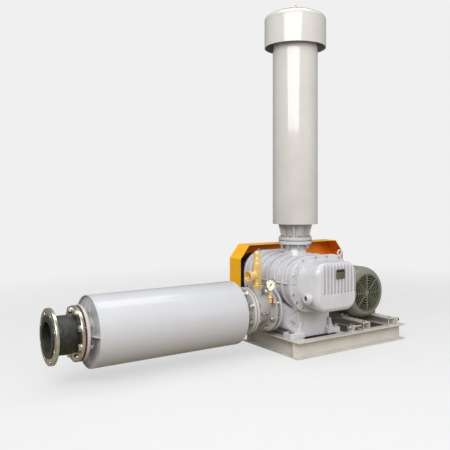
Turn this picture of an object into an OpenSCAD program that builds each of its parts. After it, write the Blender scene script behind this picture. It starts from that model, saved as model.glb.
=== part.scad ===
// Rotary lobe air blower package with intake silencer, belt drive and discharge silencer.
// X runs from the discharge side (minus) to the motor side (plus), Y from the gear cover
// (minus) to the belt guard (plus), Z up. The origin is the centre of the base on the floor.

/* [Base frame] */
// Length of the base frame
base_l = 920; // [860:10:1000]
// Width of the base frame over the flange tips
base_w = 560; // [540:10:600]
// Height of the base channels
channel_h = 100; // [90:5:120]
// Flange width of the base channels
channel_w = 50; // [45:1:60]
// Web thickness of the base channels
channel_web = 5; // [4:0.5:7]
// Flange thickness of the base channels
channel_flange = 8; // [6:0.5:10]
// Distance between the anchor holes along the base
anchor_pitch_x = 800; // [700:10:840]
// Diameter of the anchor holes
anchor_d = 18; // [14:1:22]

/* [Pedestal] */
// Height of the pedestal
pedestal_h = 158; // [152:1:170]
// Width of the pedestal box
pedestal_w = 248; // [236:2:256]
// Depth of the pedestal box
pedestal_d = 360; // [340:5:370]
// Wall of the pedestal casting
pedestal_wall = 14; // [10:1:18]
// How far the pedestal box reaches down between the base channels
pedestal_sink = 4; // [2:1:20]
// Thickness of the pedestal feet
foot_t = 34; // [24:1:40]
// Distance between the foot bolts across the pedestal
foot_pitch_x = 364; // [356:2:370]
// Distance between the foot bolts along the pedestal
foot_pitch_y = 364; // [350:2:380]
// Foot bolt diameter
foot_bolt_d = 16; // [12:1:18]

/* [Blower] */
// Place of the blower centre along the base
blower_x = -250; // [-256:1:-244]
// Height of the rotor axes above the pedestal
rotor_h = 169; // [169:1:175]
// Distance between the two rotor axes
rotor_pitch = 152; // [148:1:154]
// Number of lobes on each rotor
lobes = 3; // [2:1:4]
// Length of the rotor chamber
chamber_l = 380; // [360:5:390]
// Wall of the casing outside the rotor bores
casing_wall = 12; // [10:1:13]
// Height of the casing core
casing_h = 292; // [280:2:296]
// Thickness of the casing ribs
rib_t = 17; // [8:1:20]
// Number of ribs around the casing
rib_count = 4; // [3:1:6]
// Width over the casing ribs
rib_w = 412; // [408:1:424]
// Height over the casing ribs
rib_h = 326; // [316:1:332]
// Width of the side plate rims
plate_w = 460; // [440:2:470]
// Height of the side plate rims
plate_h = 334; // [330:1:336]
// Thickness of the side plate bodies
plate_body_t = 29; // [24:1:34]
// Thickness of the side plate rims
plate_rim_t = 22; // [16:1:26]
// Diameter of the rotor shafts
shaft_d = 44; // [40:1:48]
// Outer diameter of the rotor bearings
bearing_d = 90; // [84:1:95]
// Width of the rotor bearings
bearing_w = 32; // [28:1:34]

/* [Timing gears] */
// Number of teeth on each timing gear
gear_teeth = 38; // [30:1:44]
// Face width of the timing gears
gear_w = 40; // [30:1:44]
// Sideways play of each tooth flank
gear_play = 0.3; // [0.2:0.05:0.5]

/* [Gear cover] */
// Width of the gear cover flange
cover_w = 372; // [366:1:380]
// Height of the gear cover flange
cover_h = 294; // [284:1:296]
// Depth of the gear cover
cover_d = 147; // [135:1:160]
// Width of the gear cover face
cover_face_w = 324; // [310:1:336]
// Height of the gear cover face
cover_face_h = 288; // [270:1:290]
// Wall of the gear cover
cover_wall = 9; // [7:0.5:12]
// Number of cooling fins on the gear cover
fin_count = 11; // [6:1:12]
// Distance between the fins
fin_pitch = 26.5; // [22:0.5:28]
// Depth of the grooves between the fins
fin_depth = 12; // [8:1:14]

/* [Intake] */
// Height of the inlet flange face above the rotor axes
inlet_h = 241; // [235:1:260]
// Bore of the inlet
inlet_bore = 100; // [90:2:106]
// Outer diameter of the intake silencer tube
intake_d = 285; // [270:1:300]
// Height of the tube's lower end above the inlet flange face
intake_foot_h = 106; // [96:1:130]
// Length of the intake silencer tube
intake_l = 1156; // [900:10:1300]
// Outer diameter of the intake cap
cap_d = 390; // [370:2:410]
// Height of the cap's skirt
cap_skirt_h = 171; // [150:1:190]
// Rise of the cap's dome
cap_dome_h = 74; // [60:1:90]
// How far the skirt hangs below the top of the tube
cap_overlap = 41; // [30:1:60]
// Sheet thickness of the silencers
sheet_t = 2.5; // [2:0.5:4]

/* [Discharge] */
// Height of the discharge axis above the base frame
outlet_h = 163; // [163:1:170]
// Distance from the blower centre to the outlet flange face
outlet_reach = 224; // [222:1:232]
// Bore of the discharge pipe
outlet_bore = 155; // [150:1:158]
// Outer diameter of the discharge pipe
outlet_d = 165; // [163:1:170]
// Length of the tee pipe
tee_l = 152; // [150:1:180]
// Thickness of the check valve
check_t = 14; // [14:1:18]
// Thickness of the flange gaskets
gasket_t = 3; // [2:0.5:4]
// Outer diameter of the discharge silencer
silencer_d = 368; // [350:2:390]
// Length of the discharge silencer shell
silencer_l = 876; // [700:10:1000]
// Length of the left neck of the discharge silencer
neck_left_l = 48; // [48:1:70]
// Length of the right neck of the discharge silencer
neck_right_l = 90; // [80:1:110]
// Length of the rubber joint
rubber_l = 154; // [140:1:170]
// Outer diameter of the rubber joint's body
rubber_d = 197; // [192:1:206]

/* [Flanges] */
// Outer diameter of the discharge flanges
big_flange_d = 280; // [275:1:285]
// Bolt circle of the discharge flanges
big_pcd = 240; // [236:1:244]
// Thickness of the discharge flanges
big_flange_t = 16; // [14:1:22]
// Hole diameter of the discharge flanges
big_hole_d = 23; // [22:0.5:24]
// Outer diameter of the inlet flanges
small_flange_d = 210; // [206:1:216]
// Bolt circle of the inlet flanges
small_pcd = 175; // [173:1:180]
// Thickness of the inlet flanges
small_flange_t = 20; // [16:1:24]
// Hole diameter of the inlet flanges
small_hole_d = 19; // [18:0.5:20]

/* [Motor] */
// Place of the motor axis along the base
motor_x = 233; // [225:1:240]
// Height of the motor axis above its feet
motor_h = 160; // [158:1:166]
// Distance between the foot holes across the motor
motor_foot_x = 254; // [248:1:258]
// Distance between the foot holes along the motor
motor_foot_y = 210; // [190:1:220]
// Outer diameter over the motor fins
motor_d = 312; // [300:1:314]
// Outer diameter of the fan cowl
cowl_d = 336; // [330:1:340]
// Diameter of the grille in the fan cowl
grille_d = 242; // [220:1:250]
// Diameter of the motor shaft
motor_shaft_d = 42; // [38:1:48]
// Height of the motor rails
rail_h = 50; // [50:1:60]
// Width of the motor rails
rail_w = 60; // [60:1:66]
// Travel of the motor on its rails each way
belt_take_up = 15; // [5:1:18]

/* [Belt drive] */
// Pitch diameter of the blower pulley
blower_pulley_d = 280; // [260:1:285]
// Pitch diameter of the motor pulley
motor_pulley_d = 200; // [170:1:210]
// Number of V-belts
belt_count = 3; // [1:1:3]
// Distance between the belts
belt_pitch = 19; // [18.5:0.5:20]
// Width of the pulleys
pulley_w = 63; // [60:1:66]
// Thickness of the guard sheet
guard_t = 2.5; // [2:0.5:4]
// Depth of the belt guard
guard_d = 126; // [120:1:135]

/* [Relief valve and gauge] */
// Outer diameter of the relief valve body
relief_d = 56; // [52:1:60]
// Height of the relief valve
relief_h = 231; // [225:1:250]
// Lift of the relief valve disc
relief_lift = 8; // [4:1:9]
// Outer diameter of the pressure gauge
gauge_d = 75; // [63:1:80]
// Diameter of the gauge's siphon tube
siphon_d = 10; // [8:0.5:12]

/* [Hidden] */
$fn = 64;
e = 0.01;
run_gap = 0.05;
slide_gap = 0.3;

// Heights and places that everything shares
pedestal_top = channel_h + pedestal_h;
rotor_z = pedestal_top + rotor_h;
inlet_z = rotor_z + inlet_h;
outlet_z = channel_h + outlet_h;
rail_z = channel_h + slide_gap;
motor_z = rail_z + rail_h + motor_h;
web_y = base_w / 2 - channel_w;
flange_mid_y = base_w / 2 - channel_w / 2;

// Rotor profile
pitch_r = rotor_pitch / 2;
roll_r = pitch_r / (2 * lobes);
lobe_play = 0.35;
lobe_steps = 14;
tip_r = pitch_r + 2 * roll_r;
chamber_r = tip_r + 0.6;
drive_x = blower_x - pitch_r;
driven_x = blower_x + pitch_r;
casing_w = 2 * (pitch_r + chamber_r + casing_wall);
casing_r = 132;
rib_r = 145;
plate_r = 140;
chamber_y = chamber_l / 2;
plate_y = chamber_y + plate_body_t;
face_y = plate_y + plate_rim_t;
shaft_r = shaft_d / 2;
rotor_end_gap = 0.6;

// Gear train behind the front cover
gear_m = rotor_pitch / gear_teeth;
pressure_angle = 20;
gear_y = -face_y - 6;
cover_drop = 8;
cover_flange_t = 12;
cover_r = 125;
cover_face_r = 80;
// Rounding of the cover's nose: depth behind the face and how far the outline draws in
cover_nose = [[1, 27], [4, 18], [9, 10.5], [16, 4.5], [26, 0]];
fin_w = 12;
fin_mid_x = 19;
fin_foot_z = -42;
glass_y = -face_y - 79;
glass_z = -68;
glass_r = 17;
glass_boss_r = 34;

// Intake
intake_axis = [blower_x, 0];
intake_z = inlet_z + intake_foot_h;
intake_top = intake_z + intake_l;
cap_z = intake_top - cap_overlap;
cap_top = cap_z + cap_skirt_h + cap_dome_h;
neck_r = inlet_bore / 2 + 7;
core_r = 60;
end_plate_t = 8;
rod_r = 8;
cap_hole_gap = 0.3;

// Discharge line, from the blower outlet to the rubber joint
outlet_x = blower_x - outlet_reach;
check_x = outlet_x - gasket_t - check_t;
tee_x1 = check_x - gasket_t;
tee_x0 = tee_x1 - tee_l;
silencer_x1 = tee_x0 - gasket_t;
shell_x1 = silencer_x1 - neck_right_l;
shell_x0 = shell_x1 - silencer_l;
silencer_x0 = shell_x0 - neck_left_l;
rubber_x1 = silencer_x0 - gasket_t;
rubber_x0 = rubber_x1 - rubber_l;
ring_t = 16;
free_hole_d = big_hole_d + 1;
lip_t = 6;
big_bolt_d = 20;
small_bolt_d = 16;
flap_r = 60;
flap_t = 5;
seat_r = 54;
flap_gap = 0.3;
flap_pin_r = 4;
flap_pin_z = flap_r + 8;
flap_pin_x = check_x + 7;

// Relief valve and gauge on the tee
relief_x = tee_x1 - 56;
socket_h = 124;
relief_z = outlet_z + socket_h;
relief_bore = 19;
relief_seat = relief_z + 50;
disc_t = 5;
bonnet_z = relief_z + 146;
spring_roof = bonnet_z + 51;
vent_z = relief_z + 77;
vent_reach = 70;
vent_bore = 16;
gauge_x = tee_x0 + 72;
port_z = outlet_z - 9;
port_y = -outlet_d / 2 - 10;
siphon_bend = 20;
siphon_y = port_y - 70;
cock_z = port_z + 74;
cock_h = 67;
gauge_r = gauge_d / 2;
gauge_z = cock_z + cock_h + gauge_r - 1;
gauge_t = 24;
needle_r = 2;

// Motor and its carriage
foot_shoulder = 108;
shaft_out = 110;
motor_tail_y = guard_d + 244;
shoulder_y = motor_tail_y - shaft_out;
hole_back_y = shoulder_y - foot_shoulder;
hole_front_y = hole_back_y - motor_foot_y;
frame_front_y = hole_front_y + 48;
frame_back_y = hole_back_y + 62;
box_mid_y = (frame_front_y + frame_back_y) / 2 + 20;
box_l = motor_foot_y * 4 / 7;
skin_r = motor_d / 2 - 26;
stator_r = motor_d * 3 / 13;
cowl_front_y = -160;
rail_t = 6;
rail_l = 540;
left_rail_x = motor_x - motor_foot_x / 2 - 23;
right_rail_x = motor_x + motor_foot_x / 2 - 43;
clamp_inset = 13;
clamp_y = flange_mid_y + 3;
jack_y = flange_mid_y - 17;
jack_z = rail_z + rail_h / 2;
carriage_bolt_d = 12;
lug_t = 10;
left_lug_x = left_rail_x - 73;
right_lug_x = right_rail_x + rail_w + 32;

// Belt drive
guard_y0 = face_y + 14;
belt_y = guard_y0 + 61.5;
belt_h = 13;
belt_top = 8.1;
belt_tan = 0.36;
belt_rise = 5;
drive_dx = motor_x - drive_x;
drive_dz = motor_z - rotor_z;
centres = sqrt(drive_dx * drive_dx + drive_dz * drive_dz);
line_angle = atan2(drive_dz, drive_dx);
wrap = acos((blower_pulley_d - motor_pulley_d) / 2 / centres);
guard_x0 = drive_x - blower_pulley_d / 2 - 31;
guard_x1 = motor_x + motor_pulley_d / 2 + 84;
guard_z0 = motor_z - motor_pulley_d / 2 - 45;
guard_z1 = rotor_z + blower_pulley_d / 2 + 60;
guard_cut_x = 70;
guard_cut_z = 88;

// Paint and metal colours
paint = [0.80, 0.79, 0.80];
zinc = [0.80, 0.80, 0.76];
brass = [0.83, 0.63, 0.30];
steel = [0.62, 0.62, 0.63];
dark = [0.10, 0.10, 0.10];
motor_green = [0.44, 0.46, 0.40];
guard_orange = [0.98, 0.68, 0.03];

// Helpers that place a profile or a rod along an axis

module along_y(y0, y1) {
    translate([0, y1, 0]) rotate([90, 0, 0]) linear_extrude(y1 - y0) children();
}

module rod_y(y0, y1, r) {
    translate([0, y1, 0]) rotate([90, 0, 0]) cylinder(h = y1 - y0, r = r);
}

module rod_x(x0, x1, r) {
    translate([x0, 0, 0]) rotate([0, 90, 0]) cylinder(h = x1 - x0, r = r);
}

// A profile drawn as radius and height, turned about an axis along Y
module turned_y(y0) {
    translate([0, y0, 0]) rotate([-90, 0, 0]) rotate_extrude() children();
}

module at_blower() {
    translate([blower_x, 0, rotor_z]) children();
}

module at_outlet() {
    translate([0, 0, outlet_z]) children();
}

module at_motor() {
    translate([motor_x, 0, motor_z]) children();
}

module both_ends() {
    children();
    mirror([0, 1, 0]) children();
}

module rounded_rect(w, h, r) {
    square([w - 2 * r, h], center = true);
    square([w, h - 2 * r], center = true);
    for (sx = [-1, 1], sy = [-1, 1])
        translate([sx * (w / 2 - r), sy * (h / 2 - r)]) circle(r);
}

module ring(outer, inner, h) {
    difference() {
        cylinder(h = h, r = outer);
        translate([0, 0, -1]) cylinder(h = h + 2, r = inner);
    }
}

module torus(mean, section) {
    rotate_extrude() translate([mean, 0]) circle(section);
}

// Places children on a bolt circle whose holes straddle the main axes
module bolt_circle(count, pcd) {
    for (k = [0:count - 1])
        rotate([0, 0, (k + 0.5) * 360 / count]) translate([pcd / 2, 0, 0]) children();
}

module flange(outer, bore, t, pcd, hole, count = 8) {
    difference() {
        cylinder(h = t, d = outer);
        translate([0, 0, -1]) cylinder(h = t + 2, d = bore);
        bolt_circle(count, pcd) translate([0, 0, -1]) cylinder(h = t + 2, d = hole);
    }
}

module hexagon(across, h) {
    cylinder(h = h, r = across / 2 / cos(30), $fn = 6);
}

// A bolt seen from under its head: the shank rises through the grip to its nut
module hex_bolt(d, grip, nut = true) {
    tail = nut ? 1.1 * d : 0;
    translate([0, 0, -0.65 * d]) hexagon(1.5 * d, 0.65 * d);
    cylinder(h = grip + tail, d = d);
    if (nut) translate([0, 0, grip]) hexagon(1.5 * d, 0.8 * d);
}

// A flange pair's stud with a nut at each end
module stud(d, grip) {
    translate([0, 0, -1.1 * d]) cylinder(h = grip + 2.2 * d, d = d);
    for (z = [-0.8 * d, grip]) translate([0, 0, z]) hexagon(1.5 * d, 0.8 * d);
}

// Base frame

module channel_section() {
    polygon([[0, 0], [channel_w, 0], [channel_w, channel_flange],
        [channel_web, channel_flange], [channel_web, channel_h - channel_flange],
        [channel_w, channel_h - channel_flange], [channel_w, channel_h], [0, channel_h]]);
}

module cross_channel(x, side) {
    translate([x, web_y, 0]) mirror([side < 0 ? 1 : 0, 0, 0])
        rotate([90, 0, 0]) linear_extrude(2 * web_y) channel_section();
}

module clamp_slot(x) {
    for (dx = [-belt_take_up, belt_take_up])
        translate([x + dx, clamp_y, channel_h - channel_flange - 1])
            cylinder(h = channel_flange + 2, d = carriage_bolt_d + 2);
    translate([x - belt_take_up, clamp_y - carriage_bolt_d / 2 - 1,
        channel_h - channel_flange - 1])
        cube([2 * belt_take_up, carriage_bolt_d + 2, channel_flange + 2]);
}

module base_frame() {
    color(paint) difference() {
        union() {
            both_ends() translate([-base_l / 2, web_y, 0])
                rotate([90, 0, 90]) linear_extrude(base_l) channel_section();
            cross_channel(channel_w - base_l / 2, -1);
            cross_channel(base_l / 2 - channel_w, 1);
            cross_channel(blower_x + foot_pitch_x / 2 + 28, -1);
            cross_channel(left_rail_x + rail_w, 1);
        }
        both_ends() for (x = [-1, 1] * anchor_pitch_x / 2)
            translate([x, flange_mid_y, -1]) cylinder(h = channel_flange + 2, d = anchor_d);
        both_ends() for (x = [left_rail_x, right_rail_x]) clamp_slot(x + clamp_inset);
        for (sx = [-1, 1], sy = [-1, 1])
            translate([blower_x + sx * foot_pitch_x / 2, sy * foot_pitch_y / 2,
                channel_h - channel_flange - 1])
                cylinder(h = channel_flange + 2, d = foot_bolt_d + 2);
    }
}

module jack_lug(x, away) {
    lug_h = jack_z - channel_h + 15;
    difference() {
        union() {
            translate([x, jack_y - 17, channel_h]) cube([lug_t, 34, lug_h]);
            translate([away > 0 ? x : x - 18, jack_y - 17, channel_h])
                cube([lug_t + 18, 34, 6]);
        }
        translate([0, jack_y, jack_z]) rod_x(x - 1, x + lug_t + 1, carriage_bolt_d / 2 + 0.35);
    }
}

module jack_brackets() {
    color(paint) both_ends() {
        jack_lug(left_lug_x, -1);
        jack_lug(right_lug_x, 1);
    }
}

// Pedestal: a hollow casting that takes the air down from the casing and out to the left

module pedestal_foot() {
    pad_x = foot_pitch_x / 2 + 17;
    box_x = pedestal_w / 2;
    y0 = foot_pitch_y / 2 - 56;
    y1 = foot_pitch_y / 2 + 24;
    // The side wall flares out to the foot
    translate([0, y1 - 8, channel_h]) rotate([90, 0, 0]) linear_extrude(y1 - 8 - y0)
        polygon([[box_x - pedestal_wall, 0], [pad_x, 0], [pad_x, foot_t],
            [box_x + 26, foot_t], [box_x + 8, foot_t + 26], [box_x - e, foot_t + 62],
            [box_x - pedestal_wall, foot_t + 62]]);
    translate([box_x - 30, y1 - 20, channel_h]) cube([pad_x - box_x + 18, 20, foot_t]);
    translate([pad_x - 12, y1 - 12, channel_h]) cylinder(h = foot_t, r = 12);
    translate([box_x - 30, pedestal_d / 2 - e, channel_h]) rotate([90, 0, 90])
        linear_extrude(38) polygon([[0, 0], [y1 - pedestal_d / 2, 0],
            [y1 - pedestal_d / 2, foot_t * 0.7], [0, foot_t + 20]]);
}

module pedestal() {
    box_z = channel_h - pedestal_sink;
    inner_z = box_z + 16;
    nozzle_x = outlet_x + big_flange_t;
    box_left = blower_x - pedestal_w / 2;
    color(paint) difference() {
        union() {
            translate([box_left, -pedestal_d / 2, box_z])
                cube([pedestal_w, pedestal_d, pedestal_top - box_z]);
            translate([blower_x, 0, 0]) for (sx = [0, 1], sy = [0, 1])
                mirror([sx, 0, 0]) mirror([0, sy, 0]) pedestal_foot();
            // Nozzle that narrows from the box to the round outlet
            hull() {
                at_outlet() rod_x(nozzle_x - e, nozzle_x + 4, outlet_d / 2 + 6, $fn = 48);
                translate([box_left - 4, -pedestal_d / 2 + 40, box_z + 26])
                    cube([4 + e, pedestal_d - 80, pedestal_top - box_z - 26]);
            }
            at_outlet() rod_x(outlet_x, nozzle_x, big_flange_d / 2);
            // Gussets beside the nozzle
            for (sy = [-1, 1]) translate([0, sy * (pedestal_d / 2 - 22), 0])
                translate([0, 6, 0]) rotate([90, 0, 0]) linear_extrude(12)
                    polygon([[box_left + e, pedestal_top - 80], [box_left + e, pedestal_top - 14],
                        [box_left - 54, pedestal_top - 44]]);
        }
        // Plenum
        translate([box_left + pedestal_wall, -pedestal_d / 2 + pedestal_wall, inner_z])
            cube([pedestal_w - 2 * pedestal_wall, pedestal_d - 2 * pedestal_wall,
                pedestal_top - pedestal_wall - inner_z]);
        translate([blower_x, 0, pedestal_top - pedestal_wall - 1])
            cylinder(h = pedestal_wall + 2, d = outlet_bore - 15);
        hull() {
            at_outlet() rod_x(nozzle_x - 2, nozzle_x, outlet_bore / 2, $fn = 48);
            translate([box_left + pedestal_wall, -pedestal_d / 2 + 60, inner_z])
                cube([1, pedestal_d - 120, pedestal_top - pedestal_wall - inner_z]);
        }
        at_outlet() rod_x(outlet_x - 1, nozzle_x - 1, outlet_bore / 2);
        translate([outlet_x, 0, outlet_z]) rotate([0, 90, 0]) bolt_circle(8, big_pcd)
            translate([0, 0, -1]) cylinder(h = big_flange_t - 1, d = big_bolt_d + 0.6);
        for (sx = [-1, 1], sy = [-1, 1])
            translate([blower_x + sx * foot_pitch_x / 2, sy * foot_pitch_y / 2, channel_h - 1])
                cylinder(h = foot_t + 2, d = foot_bolt_d + 2);
    }
}

module pedestal_bolts() {
    color(zinc) for (sx = [-1, 1], sy = [-1, 1])
        translate([blower_x + sx * foot_pitch_x / 2, sy * foot_pitch_y / 2,
            channel_h - channel_flange]) hex_bolt(foot_bolt_d, foot_t + channel_flange);
}

// Blower body

module casing() {
    pad_z = rib_h / 2 - 14;
    color(paint) at_blower() difference() {
        union() {
            along_y(-chamber_y, chamber_y) rounded_rect(casing_w, casing_h, casing_r);
            for (k = [0:rib_count - 1]) {
                y = (k - (rib_count - 1) / 2) * chamber_l / (rib_count + 0.8);
                along_y(y - rib_t / 2, y + rib_t / 2) rounded_rect(rib_w, rib_h, rib_r);
            }
            for (y = [-chamber_y, chamber_y - 14])
                along_y(y, y + 14) rounded_rect(rib_w, rib_h, rib_r);
            // Parting ledge at the height of the rotor axes
            translate([-rib_w / 2, -chamber_y, -4]) cube([rib_w, chamber_l, 8]);
            // Inlet neck, its skirt and its flange
            translate([0, 0, casing_h / 2 - 30]) cylinder(h = 70, r1 = 98, r2 = neck_r + 9);
            translate([0, 0, casing_h / 2 - 20])
                cylinder(h = inlet_h - casing_h / 2, r = neck_r + 9);
            translate([0, 0, inlet_h - small_flange_t - 2])
                cylinder(h = small_flange_t + 2, d = small_flange_d);
            // Foot that sits on the pedestal
            translate([-pedestal_w / 2, -pedestal_d / 2 + 8, -rotor_h])
                cube([pedestal_w, pedestal_d - 16, rotor_h - 120]);
        }
        for (x = [-pitch_r, pitch_r])
            translate([x, 0, 0]) rod_y(-chamber_y - 1, chamber_y + 1, chamber_r);
        translate([-60, -chamber_y + 40, 40]) cube([120, chamber_l - 80, casing_h / 2 - 60]);
        translate([-60, -chamber_y + 40, 20 - casing_h / 2]) cube([120, chamber_l - 80, 80]);
        cylinder(h = inlet_h + 1, d = inlet_bore);
        translate([0, 0, -rotor_h - 1]) cylinder(h = rotor_h, d = outlet_bore - 15);
        bolt_circle(8, small_pcd) translate([0, 0, inlet_h - small_flange_t - 3])
            cylinder(h = small_flange_t + 4, d = small_hole_d);
    }
}

// Screw places on one corner of the side plate's rim
screw_inset = 11;
screw_angles = [15, 40, 65];
screw_d = 10;

module rim_screw_places() {
    corner = [plate_w / 2 - plate_r, plate_h / 2 - plate_r];
    reach = plate_r - screw_inset;
    for (sx = [-1, 1], sz = [-1, 1], a = screw_angles)
        translate([sx * (corner[0] + reach * cos(a)), 0, sz * (corner[1] + reach * sin(a))])
            children();
    for (x = [-45, 45]) translate([x, 0, plate_h / 2 - screw_inset]) children();
}

// Height of the side plate's rim above the rotor axes at a place along its corner
function rim_height(x) = plate_h / 2 - plate_r
    + sqrt(plate_r * plate_r - pow(max(abs(x) - plate_w / 2 + plate_r, 0), 2));

eye_x = 165;
eye_foot_r = 11;
eye_seat = rim_height(eye_x - eye_foot_r) + 0.5;
breather_x = -117;
breather_seat = rim_height(abs(breather_x) + 10) - 0.5;
plate_mid_y = plate_y + plate_rim_t / 2;

// The rear side plate, with the drive shaft's seal bore; the front one is its mirror image
module side_plate(front) {
    difference() {
        union() {
            along_y(chamber_y, plate_y) rounded_rect(rib_w, rib_h, rib_r);
            along_y(plate_y, face_y) rounded_rect(plate_w, plate_h, plate_r);
            translate([eye_x, plate_mid_y, eye_seat - 40]) cylinder(h = 40, r = eye_foot_r);
        }
        translate([eye_x, plate_mid_y, eye_seat - 14]) cylinder(h = 16, r = 5.1);
        for (x = [-pitch_r, pitch_r]) translate([x, 0, 0]) {
            rod_y(chamber_y - 1, face_y, shaft_r + 4);
            rod_y(chamber_y + 10, front ? face_y + 1 : face_y - 5, bearing_d / 2);
        }
        if (!front) translate([-pitch_r, 0, 0]) rod_y(chamber_y + 10, face_y + 1, bearing_d / 2);
        // Pry slots in the rim at the height of the rotor axes
        for (sx = [-1, 1]) translate([sx * (plate_w / 2 - 20), face_y, 0])
            cube([42, 8, 6], center = true);
        rim_screw_places() rod_y(plate_y - 1, face_y + 1, screw_d / 2 + 0.3);
    }
}

module front_side_plate() {
    color(paint) at_blower() mirror([0, 1, 0]) side_plate(true);
}

module rear_side_plate() {
    color(paint) at_blower() difference() {
        side_plate(false);
        // Breather hole and its spot face
        translate([breather_x, plate_mid_y, breather_seat - 60]) cylinder(h = 80, r = 6.1);
        translate([breather_x, plate_mid_y, breather_seat]) cylinder(h = 20, r = 10);
    }
}

// Gear cover

module cover_slab(y, w, h, r, drop = cover_drop) {
    translate([0, 0, -drop]) along_y(y - 1, y) rounded_rect(w, h, r);
}

module gear_cover() {
    back = -face_y - cover_flange_t;
    front = -face_y - cover_d;
    groove_w = fin_pitch - fin_w;
    color(paint) at_blower() difference() {
        union() {
            along_y(back, -face_y) rounded_rect(cover_w, cover_h, cover_r);
            hull() {
                cover_slab(back + 1, cover_w - 10, cover_h - 10, cover_r - 5, 0);
                for (n = cover_nose) cover_slab(front + n[0], cover_face_w - 2 * n[1],
                    cover_face_h - 2 * n[1], cover_face_r - n[1]);
            }
            translate([0, glass_y, glass_z])
                rod_x(-cover_w / 2 + 2, -cover_face_w / 2 + 20, glass_boss_r);
            translate([0, glass_y + 20, -cover_drop - cover_h / 2 - 2])
                cylinder(h = 30, r = 16);
        }
        // Gear space, open at the flange
        hull() {
            cover_slab(-face_y + 1, cover_w - 28, cover_h - 28, cover_r - 13, 0);
            cover_slab(front + 26, cover_face_w - 2 * cover_wall - 6,
                cover_face_h - 2 * cover_wall - 6, cover_face_r - cover_wall);
        }
        // Grooves that leave the fins standing on the face
        for (k = [0:fin_count - 2]) {
            x = (k - (fin_count - 2) / 2) * fin_pitch + fin_mid_x;
            translate([x, front - 1, fin_foot_z]) {
                translate([-groove_w / 2, 0, 0]) cube([groove_w, fin_depth + 1, cover_h]);
                rotate([-90, 0, 0]) cylinder(h = fin_depth + 1, d = groove_w);
            }
        }
        translate([0, glass_y, glass_z])
            rod_x(-cover_w / 2, -cover_face_w / 2 + 24, glass_r);
        translate([0, glass_y + 20, -cover_drop - cover_h / 2 - 3]) cylinder(h = 40, r = 8);
    }
}

module sight_glass() {
    color([0.85, 0.45, 0.08]) at_blower() translate([0, glass_y, glass_z]) {
        rod_x(-cover_w / 2 + 6, -cover_face_w / 2 + 10, glass_r);
        translate([-cover_w / 2 - 6, 0, 0]) rotate([0, 90, 0]) difference() {
            hexagon(54, 8);
            translate([0, 0, -1]) cylinder(h = 10, r = glass_r - 2);
        }
    }
}

module drain_plug() {
    color(zinc) at_blower()
        translate([0, glass_y + 20, -cover_drop - cover_h / 2 - 2]) {
            cylinder(h = 24, r = 8);
            translate([0, 0, -3]) cylinder(h = 3, r = 14);
            translate([0, 0, -11]) hexagon(19, 8);
        }
}

module breather_plug() {
    color(zinc) at_blower() translate([breather_x, plate_mid_y, breather_seat]) {
        translate([0, 0, -12]) cylinder(h = 12, r = 6);
        cylinder(h = 5, r = 9);
        translate([0, 0, 5]) hexagon(19, 7);
        translate([0, 0, 12]) cylinder(h = 4, r = 6);
    }
}

module lifting_eye() {
    rise = 20;
    translate([0, 0, rise]) rotate([90, 0, 0]) torus(15.5, 4.5);
    cylinder(h = 6, r = eye_foot_r);
    translate([0, 0, -12]) cylinder(h = 13, r = 5);
}

module lifting_eyes() {
    color(paint) at_blower() both_ends() translate([eye_x, plate_mid_y, eye_seat]) lifting_eye();
}

module blower_screws() {
    color(zinc) at_blower() both_ends() rim_screw_places() {
        rod_y(plate_y, face_y, screw_d / 2);
        rod_y(face_y, face_y + 6, screw_d * 0.7);
    }
}

// Rotors: each flank is an arch traced by a small circle rolling on the pitch circle

function arch(i, f) =
    let (a = (i + f) * 180 / lobes, s = i % 2 == 0 ? 1 : -1,
        mid = pitch_r + s * roll_r, turns = mid / roll_r * (i + f) * 180 / lobes)
    [mid * cos(a) - s * roll_r * cos(turns), mid * sin(a) - roll_r * sin(turns)];

lobe_points = [for (i = [0:2 * lobes - 1], k = [0:lobe_steps - 1]) arch(i, k / lobe_steps)];

// Moves each point inwards, square to the line through its neighbours
function shrunk(pts, gap) = [for (i = [0:len(pts) - 1])
    let (n = len(pts), t = pts[(i + 1) % n] - pts[(i + n - 1) % n], l = norm(t))
    pts[i] - gap / l * [t[1], -t[0]]];

module rotor(turn, front_y, back_y) {
    along_y(rotor_end_gap - chamber_y, chamber_y - rotor_end_gap) rotate(turn)
        polygon(shrunk(lobe_points, lobe_play));
    rod_y(front_y, back_y, shaft_r);
}

module drive_rotor() {
    color(steel) translate([drive_x, 0, rotor_z])
        rotor(-90 / lobes, gear_y - gear_w - 8, belt_y + pulley_w / 2 + 6);
}

module driven_rotor() {
    color(steel) translate([driven_x, 0, rotor_z])
        rotor(180 - 270 / lobes, gear_y - gear_w - 8, face_y - 8);
}

// Timing gears with involute teeth

function involute(r, base) = let (a = acos(base / r)) tan(a) * 180 / PI - a;

function tooth_half(r) =
    let (base = pitch_r * cos(pressure_angle))
    90 / gear_teeth + involute(pitch_r, base) - involute(max(r, base), base)
        - gear_play / pitch_r * 180 / PI;

gear_radii = [pitch_r - 1.25 * gear_m, pitch_r - 0.6 * gear_m, pitch_r, pitch_r + 0.5 * gear_m,
    pitch_r + gear_m];

module gear(shift) {
    pts = [for (t = [0:gear_teeth - 1], side = [-1, 1], k = [0:4])
        let (r = gear_radii[side < 0 ? k : 4 - k],
            a = (t + shift) * 360 / gear_teeth + side * tooth_half(r))
        r * [cos(a), sin(a)]];
    difference() {
        along_y(gear_y - gear_w, gear_y) difference() {
            polygon(pts);
            circle(shaft_r);
        }
        for (k = [0:5]) rotate([0, k * 60, 0]) translate([pitch_r * 0.56, 0, 0])
            rod_y(gear_y - gear_w - 1, gear_y + 1, 9);
    }
}

module drive_gear() {
    color(steel) translate([drive_x, 0, rotor_z]) gear(0);
}

// Its tooth count decides whether a tooth or a gap faces the drive gear
module driven_gear() {
    color(steel) translate([driven_x, 0, rotor_z]) gear(gear_teeth % 2 == 0 ? 0.5 : 0);
}

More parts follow.
